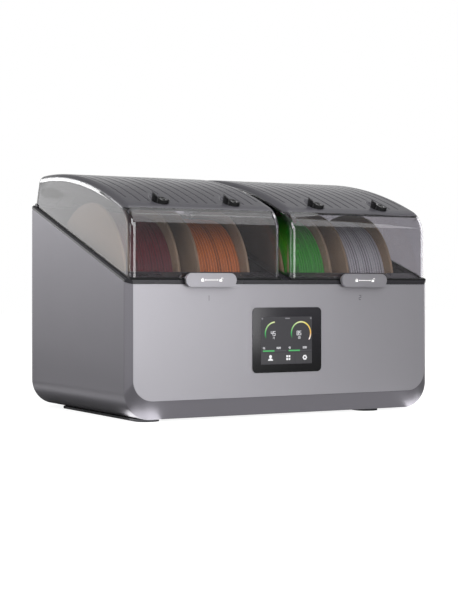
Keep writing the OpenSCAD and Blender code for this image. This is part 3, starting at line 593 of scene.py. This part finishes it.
# ---- lid line ----
# Both lid pieces follow one line in side view: an upright front, a shoulder, a long flat dome, a small back
# edge and a back face square to the rim. The arcs meet in tangents, so a layer below is the same line moved in.

LID_Y, LID_CORNER, SHOULDER_R, DOME_R, BACK_R = 1.7, 8.4, 32.0, 560.0, 10.0
DOME_Y, DOME_TOP = 238.0, 281.5
LID_T, COVER_T, LIP_T, SEAL_H = 2.5, 5.0, 1.2, 6.2
RIDGE_R, PIVOT_N, PIVOT_IN = 4.2, 3.5, 4.5      # the hinge's ridge, the height of its pins, how far in they lie
OUTLET_Y, FITTING_R = 28.0, 7.5
LIP = math.radians(180 - 47)
rim_len = CASE_D / math.cos(SLOPE)
pivot_s, back_n, lid_s = rim_len - PIVOT_IN, RIDGE_R + PIVOT_N + 0.5, rim_len + 1
dome_c = np.array([DOME_Y, DOME_TOP - DOME_R])
up_rim = np.array([math.cos(SLOPE), math.sin(SLOPE)])
off_rim = np.array([-math.sin(SLOPE), math.cos(SLOPE)])


def on_slope(s, n):
    """A point s along the sloping rim and n square to it, as (y, z)."""
    return np.array([0, FRONT_H]) + s * up_rim + n * off_rim


shoulder_y = LID_Y + SHOULDER_R
shoulder_rise = math.sqrt((DOME_R - SHOULDER_R) ** 2 - (shoulder_y - DOME_Y) ** 2)
shoulder_c = np.array([shoulder_y, dome_c[1] + shoulder_rise])
shoulder_a = math.atan2(*(shoulder_c - dome_c)[::-1])
reach = lid_s - BACK_R - (dome_c[0] * math.cos(SLOPE) + (dome_c[1] - FRONT_H) * math.sin(SLOPE))
rise = math.sqrt((DOME_R - BACK_R) ** 2 - reach ** 2)
back_c = dome_c + reach * up_rim + rise * off_rim
back_a = math.atan2(*(back_c - dome_c)[::-1])


def lid_line(start, counts):
    """Points (y, z) and outward normals of the lid's line, from an angle on the shoulder to the back's foot.

    The counts are those of points on the shoulder, the dome, the back edge and the back face.
    """
    points, normals = [], []
    for c, r, a0, a1, n in ((shoulder_c, SHOULDER_R, start, shoulder_a, counts[0]),
                            (dome_c, DOME_R, shoulder_a, back_a, counts[1]),
                            (back_c, BACK_R, back_a, SLOPE, counts[2])):
        a = np.linspace(a0, a1, n + 1)[:-1]
        out = np.stack([np.cos(a), np.sin(a)], -1)
        points.append(c + r * out)
        normals.append(out)
    top, foot = back_c + BACK_R * up_rim, on_slope(lid_s, back_n)
    t = np.linspace(0, 1, counts[3])[:, None]
    points.append(top + (foot - top) * t)
    normals.append(np.repeat(up_rim[None], counts[3], 0))
    return np.concatenate(points), np.concatenate(normals)


def cover_depth(out):
    """Thickness of the cover under points with these outward normals: thin at the lip, full a little behind."""
    angle = np.arctan2(out[:, 1], out[:, 0])
    return LIP_T + (COVER_T - LIP_T) * np.clip((LIP - angle) / (0.6 * (LIP - shoulder_a)), 0, 1)


def side_drop(x):
    """How far the rounded side edge lies below the lid's line: r - sqrt(r^2 - t^2), t mm out from its start."""
    t = np.clip(np.abs(x) - LID_W / 2 + LID_CORNER, 0, LID_CORNER)
    return LID_CORNER - np.sqrt(LID_CORNER ** 2 - t ** 2)


# ---- clear lids ----
# Each lid is one injection-moulded shell of smoke-grey polycarbonate, 2.5 mm thick, with polished faces.
# Behind the lip it is 5 mm lower, so that the cover lies flush on it.

smoke, tree = finish("polycarbonate_smoke")
# thick plastic takes the same share of light from every ray
body = node(tree, "ShaderNodeBsdfPrincipled", Base_Color=linear("#bab8bd"), Roughness=0.02, IOR=1.58,
            Transmission_Weight=1.0)
# lamps' rays go straight through the clear walls, each face taking its share
clear = node(tree, "ShaderNodeBsdfTransparent", Color=linear("#fafafa"))
ray = node(tree, "ShaderNodeLightPath")
either = node(tree, "ShaderNodeMixShader", _0=ray.outputs["Is Shadow Ray"], _1=body, _2=clear)
node(tree, "ShaderNodeOutputMaterial", Surface=either)

SIDES = ((-1, "left"), (1, "right"))
# the shell is open under the cover from the outlets to the back edge, and a ledge is left at each side
OPEN_Y0, OPEN_Y1, LEDGE_W = OUTLET_Y - FITTING_R, 236.0, 10.0


def weld(made):
    """Merges points that lie together and turns all faces to the same side, outwards."""
    work = bmesh.new()
    work.from_mesh(made.data)
    bmesh.ops.remove_doubles(work, verts=work.verts, dist=1e-6)
    bmesh.ops.recalc_face_normals(work, faces=work.faces)
    work.to_mesh(made.data)
    work.free()


def on_seal(points):
    """The points moved straight down to the top of the seal."""
    z = rim_z(points[..., 1]) + SEAL_H / math.cos(SLOPE)
    return np.stack([points[..., 0], points[..., 1], z], -1)


def clear_lid(side, word):
    """The shell from its outer faces: rows across the lid along its line, the front wall and two side walls."""
    line, out = lid_line(math.pi, (24, 26, 6, 4))
    first = int(np.argmax(np.arctan2(out[:, 1], out[:, 0]) < LIP - 1e-6))
    way = np.array([math.cos(LIP), math.sin(LIP)])
    lip = shoulder_c + SHOULDER_R * way
    depth = np.concatenate([np.zeros(first + 1), [LIP_T], cover_depth(out)[first:]])[:, None]
    line, out = (np.concatenate([v[:first], [u, u], v[first:]]) for v, u in ((line, lip), (out, way)))
    n = len(line)
    turn = LID_W / 2 - LID_CORNER * (1 - np.sin(np.radians(np.linspace(90, 0, 8))))
    x = np.concatenate([-turn, np.linspace(-1, 1, 9) * (LID_W / 2 - LEDGE_W), turn[::-1]])
    points = line[:, None] - out[:, None] * np.maximum(depth, side_drop(x)[None])[..., None]
    grid = np.concatenate([np.broadcast_to((side * LID_X + x)[None, :, None], (n, len(x), 1)), points], 2)
    faces = quads(n, len(x)).reshape(n - 1, len(x) - 1, 4)
    keep = np.ones(faces.shape[:2], bool)
    within = (line[:-1, 0] > OPEN_Y0) & (line[1:, 0] < OPEN_Y1) & (np.arange(n - 1) > first + 1)
    window = np.flatnonzero(within)
    keep[window[0]:window[-1] + 1, len(turn):-len(turn)] = False
    parts = [(grid, faces[keep]), (np.stack([grid[0], on_seal(grid[0])]), quads(2, len(x)))]
    # the side walls end in front of the hinge
    heel = [on_slope(pivot_s - 8, back_n), on_slope(pivot_s - 10, SEAL_H)]
    for edge, sx in ((grid[:, 0], -1), (grid[:, -1], 1)):
        foot = np.array([[side * LID_X + sx * LID_W / 2, *p] for p in heel])
        outline = np.concatenate([edge, foot, on_seal(edge[:1])])
        parts.append((outline, [range(len(outline))[::sx]]))
    made = piece(f"clear_lid_{word}", *join(*parts), smoke, f"lid_{word}", "smoke_clear", [f"lid_shell_{word}"])
    weld(made)
    wall = made.modifiers.new("wall", "SOLIDIFY")
    wall.thickness, wall.offset, wall.use_even_offset = LID_T / 1000, -1, True
    soften(made, 0.8, 3, 40)


for side, word in SIDES:
    clear_lid(side, word)

# ---- ribbed covers ----
# A 5 mm cover of glossy dark grey ABS lies over the dome and down the back of each lid. Fine grooves run along
# it, and two boat-shaped recesses at the front take the tube outlets.

GROOVES, GROOVE_PITCH, GROOVE_W, GROOVE_DEEP = 15, 11.8, 2.2, 1.9
GROOVE_Y, OUTER_Y, BEHIND = 25.0, 36.0, 32.0    # starts: most of them, the two outermost, behind an outlet
RECESS_DEEP, RECESS_R, RECESS_BACK = 3.0, 10.5, 28.0
OUTLET_XS = (-SPOOL_PITCH / 2, SPOOL_PITCH / 2)
OUTLET_A = math.atan2(DOME_Y - OUTLET_Y, DOME_R)
OUTLET_Z = dome_c[1] + math.sqrt(DOME_R ** 2 - (OUTLET_Y - DOME_Y) ** 2)

cover_abs = moulded("abs_ribbed_cover", "#4c4b50", 0.24, grain_mm=0.8, bump=0.03)


def step(x, low, high):
    """0 below low, 1 above high, and a smooth rise between."""
    t = np.clip((x - low) / (high - low), 0, 1)
    return t * t * (3 - 2 * t)


def ribbed_cover(side, word):
    """The cover: its outer face is the lid's line moved in by grooves and recesses, its inner face is plain."""
    line, out = lid_line(LIP, (6, 170, 8, 8))
    w = LID_W / 2
    centres = (np.arange(GROOVES) - (GROOVES - 1) / 2) * GROOVE_PITCH
    # the columns of points lie close together across each groove and each recess
    spread = np.array([-1.5, -1.1, -0.75, -0.35, 0, 0.35, 0.75, 1.1, 1.5])
    near = np.concatenate([o + np.arange(-14, 14.1, 1.0) for o in OUTLET_XS])
    ends = [LID_CORNER - w, w - LID_CORNER]
    flat = np.unique(np.round(np.concatenate([(centres[:, None] + spread).ravel(), near, ends]), 3))
    # the side edge is round and ends where it meets the clear lid, as deep as the cover is thick
    thick = cover_depth(out)[:, None]
    round_a = np.arccos(1 - (thick - 0.1) / LID_CORNER) * np.linspace(0.17, 1, 6)[None]
    edge = w - LID_CORNER + LID_CORNER * np.sin(round_a)
    x = np.concatenate([-edge[:, ::-1], np.broadcast_to(flat, (len(line), len(flat))), edge], 1)
    y = line[:, 0][:, None]
    apart = np.abs(x[None] - centres[:, None, None])
    offset, which = apart.min(0), centres[apart.argmin(0)]
    from_outlet = np.min([np.abs(which - o) for o in OUTLET_XS], 0)
    start = np.where(from_outlet < GROOVE_W / 2 + RECESS_R, OUTLET_Y + BEHIND - from_outlet, GROOVE_Y)
    start = np.where(np.abs(which) > centres[-1] - 1, OUTER_Y, start)
    depth = GROOVE_DEEP * (1 - step(offset, 0.25, GROOVE_W / 2)) * step(y, start - 1, start + 3)
    for o in OUTLET_XS:
        # round in front, and behind the fitting two arcs that meet in a point
        v = (y - OUTLET_Y) / math.cos(OUTLET_A)
        arc = (RECESS_BACK ** 2 + RECESS_R ** 2) / RECESS_R / 2
        sides = arc - np.maximum(np.hypot(x - o - arc + RECESS_R, v), np.hypot(x - o + arc - RECESS_R, v))
        inside = np.where(v < 0, RECESS_R - np.hypot(x - o, v), sides)
        depth = np.maximum(depth, RECESS_DEEP * step(inside, 0, 3.0))
    depth = depth + side_drop(x)
    depth[0] = np.maximum(depth[0], 0.4)
    outer = line[:, None, :] - out[:, None, :] * depth[..., None]
    inner = np.broadcast_to((line - out * thick)[:, None, :], outer.shape)
    layers = [np.concatenate([(side * LID_X + x)[..., None], p], 2) for p in (outer, inner)]
    n, m = outer.shape[:2]
    top, below = quads(n, m), quads(n, m)[:, ::-1] + n * m
    number = np.arange(n * m).reshape(n, m)
    rim = np.concatenate([number[0], number[1:, -1], number[-1, -2::-1], number[-2:0:-1, 0]])
    across = np.roll(rim, -1)
    sides = np.stack([rim, rim + n * m, across + n * m, across], -1)
    piece(f"ribbed_cover_{word}", np.stack(layers), [*top, *below, *sides], cover_abs, f"lid_{word}",
          "ribbed_grey", [f"cover_{word}"])


for side, word in SIDES:
    ribbed_cover(side, word)

# ---- tube outlets ----
# A push-fit for 4 mm tube stands in each recess: a glossy black ABS collar and collet behind a guard that rises
# on the left.

TUBE_R, COLLAR_R = 2.1, RECESS_R - 0.4
GUARD_START, GUARD_STOP = 150, 338       # degrees round the fitting from its right, the front at 270
black_gloss = moulded("abs_black_outlet", "#0b0b0d", 0.14)


def outlet(x):
    """Collar, body and collet as one turned shape, and a guard: a wall round the front, high on the left."""
    # radius and height over the dome
    profile = np.array([
        [TUBE_R, -6], [FITTING_R, -6], [FITTING_R, -3], [COLLAR_R, -3], [COLLAR_R, -0.9], [9.6, -0.4],
        [FITTING_R, -0.4], [FITTING_R, 0.7], [7.2, 1.0], [6.5, 1.0], [5.3, 3.5], [3.4, 3.5], [TUBE_R, 2.6]])
    n, m = 48, 32
    a = np.linspace(0, 2 * np.pi, n, endpoint=False)[None]
    r, h = profile[:, :1], profile[:, 1:]
    body = np.stack([r * np.cos(a), r * np.sin(a), h + 0 * a], -1)
    # top, foot and inner radius of the guard by the angle
    turn = np.linspace(GUARD_START, GUARD_STOP, m)
    high = np.interp(turn, (GUARD_START, 162, 200, 232, 256, 285, 318, GUARD_STOP),
                     (9.4, 8.6, 7.6, 4.8, 3.2, 3.6, 3.9, 3.4))
    low = np.interp(turn, (GUARD_START, 160, 290, GUARD_STOP), (4.0, -2.5, -2.5, 3.0))
    inner = np.interp(turn, (GUARD_START, 175, 300, GUARD_STOP), (9.9, 8.2, 8.2, 9.8))
    c, k = np.cos(np.radians(turn)), np.sin(np.radians(turn))
    rings = ((COLLAR_R, low), (COLLAR_R, high), (inner, high), (inner, low))
    wall = np.stack([np.stack([q * c, q * k, z], -1) for q, z in rings], 1)
    points, faces = join((body, quads(len(profile), n, ring_rows=True, ring_cols=True)),
                         (wall, [*quads(m, 4, ring_cols=True), range(4), range(4 * m - 1, 4 * m - 5, -1)]))
    # tilted with the dome and set on it
    c, k = math.cos(OUTLET_A), math.sin(OUTLET_A)
    tilted = np.stack([points[:, 0] + x, points[:, 1] * c - points[:, 2] * k + OUTLET_Y,
                       points[:, 1] * k + points[:, 2] * c + OUTLET_Z], -1)
    return tilted, faces


for side, word in SIDES:
    made = piece(f"tube_outlets_{word}", *join(*[outlet(side * LID_X + x) for x in OUTLET_XS]), black_gloss,
                 f"lid_{word}", "black_plastic", [f"outlets_{word}"])
    soften(made, 0.2, 1, 60)

# ---- latches ----
# A silver knob slides on a black plate at the foot of each lid. The knob is die-cast, blasted and lacquered.
# White marks are printed on it: a shut padlock, a double arrow and an open padlock.

KNOB_W, KNOB_H, KNOB_OUT, LATCH_Z = 62.8, 15.0, 7.6, FRONT_H + 4.7
PLATE_T, LATCH_GAP, TONGUE_W, TONGUE_H = 3.4, 0.3, 8.0, 1.2
knob_silver = anodised("lacquered_zinc_knob", "#b2b0b6", 0.36)
# the white print also glows a little, a painted brightness that the lamps don't give it
print_white_glow, tree = finish("pad_print_white")
shader = node(tree, "ShaderNodeBsdfPrincipled", Base_Color=linear("#f4f2f0"), Roughness=0.5,
              Emission_Color=linear("#ffffff"), Emission_Strength=0.25)
node(tree, "ShaderNodeOutputMaterial", Surface=shader)
plate_black = moulded("abs_black_plate", "#141416", 0.35)


def pill(w, h, centre, steps=16):
    """Outline of two half circles joined by straight lines."""
    return rounded_rect(w, h, h / 2 - 0.001, centre, steps)


LOCK_X, LOCK_W, LOCK_LOW, LOCK_HIGH, SHACKLE_R, SHACKLE_T = 11.3, 3.4, -1.7, 0.6, 1.15, 0.5
ARROW_X, ARROW_LOW, ARROW_HIGH, HEAD_X, HEAD_R = 7.0, -0.35, 0.25, 7.6, 0.9
PRINT = (-KNOB_OUT - 0.12, -KNOB_OUT + 0.05)      # front and back of the print


def padlock(x, shackle_x, lift):
    """A padlock: its body, and its shackle as a flat band over a half circle, lifted off it or not."""
    a = np.radians(np.linspace(180, 0, 14))
    z = LATCH_Z + LOCK_HIGH + lift
    outer, inner = (np.stack([shackle_x + r * np.cos(a), z + r * np.sin(a)], -1)
                    for r in (SHACKLE_R + SHACKLE_T / 2, SHACKLE_R - SHACKLE_T / 2))
    return join(bar(x - LOCK_W / 2, LATCH_Z + LOCK_LOW, x + LOCK_W / 2, LATCH_Z + LOCK_HIGH, *PRINT),
                prism(np.concatenate([outer, inner[::-1]]), *PRINT))


for side, word in SIDES:
    x = side * LID_X
    knob_back = -PLATE_T - 2 * LATCH_GAP
    # the tongue slides under the keeper's catch
    tongue = block((x - TONGUE_W / 2, knob_back - 0.5, FRONT_H - LATCH_GAP - TONGUE_H),
                   (x + TONGUE_W / 2, -0.5, FRONT_H - LATCH_GAP))
    head = prism(pill(KNOB_W, KNOB_H, (x, LATCH_Z)), -KNOB_OUT, knob_back)
    knob = piece(f"latch_slider_{word}", *join(head, tongue), knob_silver, f"latch_{word}", "knob_silver",
                 [f"latch_knob_{word}"])
    soften(knob, 0.9, 4, 40)
    marks = [
        padlock(x - LOCK_X, x - LOCK_X, 0),
        bar(x - ARROW_X, LATCH_Z + ARROW_LOW, x + ARROW_X, LATCH_Z + ARROW_HIGH, *PRINT),
        disc(x - HEAD_X, LATCH_Z, HEAD_R, *PRINT, 3),
        disc(x + HEAD_X, LATCH_Z, HEAD_R, *PRINT, 3),
        padlock(x + LOCK_X, x + LOCK_X + LOCK_W / 2, 0.6),
    ]
    piece(f"latch_marks_{word}", *join(*marks), print_white_glow, f"latch_{word}", "silver_panel", smooth=False)
    # the plate stands on a pad on the lid
    pad = block((x - 20, -0.5, FRONT_H + 8.4), (x + 20, LID_Y, LATCH_Z + KNOB_H / 2 - 1))
    base = prism(pill(KNOB_W - 3, KNOB_H - 2, (x, LATCH_Z)), -PLATE_T - LATCH_GAP, -LATCH_GAP)
    plate = piece(f"latch_plate_{word}", *base, plate_black, f"lid_{word}", "black_plastic",
                  [f"latch_base_{word}"])
    # straight lower edge above the keeper's catch
    cut(plate, *block((x - KNOB_W, -10, 0), (x + KNOB_W, 1, FRONT_H + 1.5)))
    soften(plate, 0.4, 2, 40)
    piece(f"latch_pad_{word}", *pad, plate_black, f"lid_{word}", "black_plastic", smooth=False)

# ---- feet ----
# Two long strips of soft dark rubber under the case, with round ends and a small edge radius from the mould.
# They keep the air slots in the floor off the table.

rubber = moulded("rubber_feet", "#2a2a2e", 0.7, grain_mm=1.2, bump=0.2)
FOOT_W, FOOT_LEN, FOOT_Y = 28.0, 222.0, 11.0
for word, x in (("left", 35 - CASE_W / 2), ("right", CASE_W / 2 - 75)):
    flat = pill(FOOT_LEN, FOOT_W, (FOOT_Y + FOOT_LEN / 2, x), 12)
    n = len(flat)
    points = np.concatenate([np.column_stack([flat[:, 1], flat[:, 0], np.full(n, z)]) for z in (0.0, BASE_Z)])
    faces = [range(n), range(2 * n - 1, n - 1, -1), *quads(2, n, ring_cols=True)]
    made = piece(f"rubber_foot_{word}", points, faces, rubber, "case", "rubber", [f"foot_{word}"])
    soften(made, 0.8, 2, 40)

# ---- back and inner pieces ----
# The back is a powder-coated steel sheet with louvres, the inlet and its switch are black mouldings. Inside are
# a plated chassis, a green board, the power supply in its can, heaters with aluminium fins, and black fans.

dress(moulded("powder_coated_back", "#4f4e53", 0.6, grain_mm=1.4, bump=0.25), "rear_panel")
dress(moulded("pa66_black_inlet", "#121214", 0.45), "power_inlet", "switch_housing", "fan_housing_left",
      "fan_housing_right", "fan_impeller_left", "fan_impeller_right", "switch_rocker")
dress(moulded("pa66_dark_hinge_arms", "#29292c", 0.42), "hinge_arms_left", "hinge_arms_right")
dress(moulded("solder_mask_green", "#1f5a35", 0.35), "main_board")
dress(moulded("display_housing", "#232326", 0.5), "display_module")
dress(turned_steel("galvanised_sheet", "#a9abae", 0.45), "chassis_plate", "power_supply")
dress(turned_steel("aluminium_fins", "#b9b9bb", 0.35), "heater_left", "heater_right")

# ---- studio ----
# A pale floor and a white backdrop behind. Soft boxes stand above, in front and at both sides, the brightest of
# them towards the left, and small cards lie on the floor. The camera stands low in front, to the left.

mesh = bpy.data.meshes.new("floor")
mesh.from_pydata([(-6, -6, 0), (6, -6, 0), (6, 6, 0), (-6, 6, 0)], [], [(0, 1, 2, 3)])
floor = bpy.data.objects.new("floor", mesh)
bpy.context.scene.collection.objects.link(floor)
material, tree = finish("studio_floor")
# grey to the light, and near white to the eye except where the shadow falls
plain = node(tree, "ShaderNodeBsdfDiffuse", Color=linear("#8a8a8a"))
light = node(tree, "ShaderNodeEmission", Color=(1, 1, 1, 1), Strength=0.9)
lit_floor = node(tree, "ShaderNodeAddShader", _0=plain, _1=light)
ray = node(tree, "ShaderNodeLightPath")
eye = node(tree, "ShaderNodeMath", {"operation": "MAXIMUM"}, _0=ray.outputs["Is Camera Ray"],
           _1=ray.outputs["Is Transmission Ray"])
pick = node(tree, "ShaderNodeMixShader", _0=eye, _1=plain, _2=lit_floor)
node(tree, "ShaderNodeOutputMaterial", Surface=pick)
mesh.materials.append(material)


def soft_box(name, place, target, size, radiance):
    """An area lamp aimed at a point. Its power is radiance x pi x area, which gives its face that radiance."""
    data = bpy.data.lights.new(name, "AREA")
    data.shape, data.size, data.size_y = "RECTANGLE", *size
    data.energy = radiance * math.pi * size[0] * size[1]
    made = bpy.data.objects.new(name, data)
    bpy.context.scene.collection.objects.link(made)
    away = np.array(place) - np.array(target)
    flat = math.hypot(away[0], away[1])
    made.location = place
    made.rotation_euler = (math.atan2(flat, away[2]), 0, math.atan2(away[0], -away[1]))
    made.visible_camera = False


soft_box("front_box", (0.4, -1.15, 1.6), (0.4, 0, 1.25), (1.7, 1.4), 1.6)
soft_box("top_box", (0.5, -0.45, 2.3), (0.5, -0.35, 0), (1.8, 1.4), 1.5)
soft_box("camera_side_box", (-1.0, -1.6, 1.1), (0, 0.1, 0.2), (0.8, 0.8), 6.0)
soft_box("low_front_strip", (0.24, -1.15, 0.085), (-0.05, 0, 0.1), (0.6, 0.11), 3.5)
soft_box("left_front_box", (-0.18, -1.2, 0.42), (-0.15, 0, 0.12), (0.6, 0.6), 4.8)
soft_box("left_strip", (-1.35, -0.72, 0.3), (-0.2, 0, 0.12), (0.3, 0.6), 3.5)
soft_box("right_strip", (1.7, 0.5, 0.6), (0, 0, 0.15), (0.5, 1.4), 3.0)
soft_box("left_fill", (-0.8, 1.7, 0.75), (-0.2, 0.25, 0.15), (0.6, 0.5), 6.0)
# cards on the floor, for the bevel round the front, its two lower corners and the rounded edge of the left side
for name, x, y, size, radiance in (
        ("front_card", 0.01, -0.145, (0.36, 0.07), 0.5), ("left_corner_card", -0.175, -0.117, (0.04, 0.05), 3.0),
        ("right_corner_card", 0.2, -0.11, (0.05, 0.05), 4.0), ("side_card", -0.235, 0.06, (0.035, 0.4), 0.9)):
    soft_box(name, (x, y, 0.001), (x, y, 1), size, radiance)

world = bpy.data.worlds.new("studio")
world.use_nodes = True
tree = world.node_tree
tree.nodes.clear()
way = node(tree, "ShaderNodeSeparateXYZ", Vector=node(tree, "ShaderNodeTexCoord").outputs["Generated"]).outputs
# what gloss shows: a white backdrop low behind, brighter towards the left and dimmer above, a white panel far
# right, and a dim room in front
low = node(tree, "ShaderNodeMapRange", Value=way[2], _1=0.22, _2=0.45, _3=1.0, _4=0.3)
left = node(tree, "ShaderNodeMapRange", Value=way[0], _1=-0.30, _2=-0.36, _3=1.0, _4=2.0)
cloth = node(tree, "ShaderNodeMath", {"operation": "MULTIPLY"}, _0=low, _1=left)
panel = node(tree, "ShaderNodeMapRange", Value=way[0], _1=0.49, _2=0.51, _3=0.0, _4=0.5)
behind = node(tree, "ShaderNodeMath", {"operation": "MAXIMUM"}, _0=cloth, _1=panel)
side = node(tree, "ShaderNodeMapRange", Value=way[1], _1=-0.15, _2=0.35, _3=0.0, _4=1.0)
backdrop = node(tree, "ShaderNodeMix", _0=side, _2=0.16, _3=behind)
ray = node(tree, "ShaderNodeLightPath")
seen = node(tree, "ShaderNodeMath", {"operation": "MAXIMUM"}, _0=ray.outputs["Is Camera Ray"],
            _1=ray.outputs["Is Transmission Ray"])
glossy = node(tree, "ShaderNodeMix", _0=ray.outputs["Is Glossy Ray"], _2=0.45, _3=backdrop)
level = node(tree, "ShaderNodeMix", _0=seen, _2=glossy, _3=1.0)
sky = node(tree, "ShaderNodeBackground", Color=(1, 1, 1, 1), Strength=level)
node(tree, "ShaderNodeOutputWorld", Surface=sky)
bpy.context.scene.world = world

# The camera is level and looks to the right of straight back. Its focal length and the row of the horizon are
# pixels on a frame FRAME_PX high, its place is in metres.
FRAME_PX, FOCAL_PX, HORIZON_PX, SENSOR = 599, 1440, 287.32, 36.0
EYE, TURN = (-0.8585, -1.5176, 0.14566), math.radians(29.467)
camera = bpy.data.objects.new("camera", bpy.data.cameras.new("camera"))
bpy.context.scene.collection.objects.link(camera)
camera.data.sensor_fit = "AUTO"
camera.data.sensor_width = SENSOR
camera.data.lens = SENSOR * FOCAL_PX / FRAME_PX
camera.data.shift_y = -(FRAME_PX / 2 - HORIZON_PX) / FRAME_PX
camera.location = EYE
camera.rotation_euler = (math.pi / 2, 0, -TURN)
camera.data.clip_start = 0.05
bpy.context.scene.camera = camera
bpy.context.scene.view_settings.view_transform = "Standard"
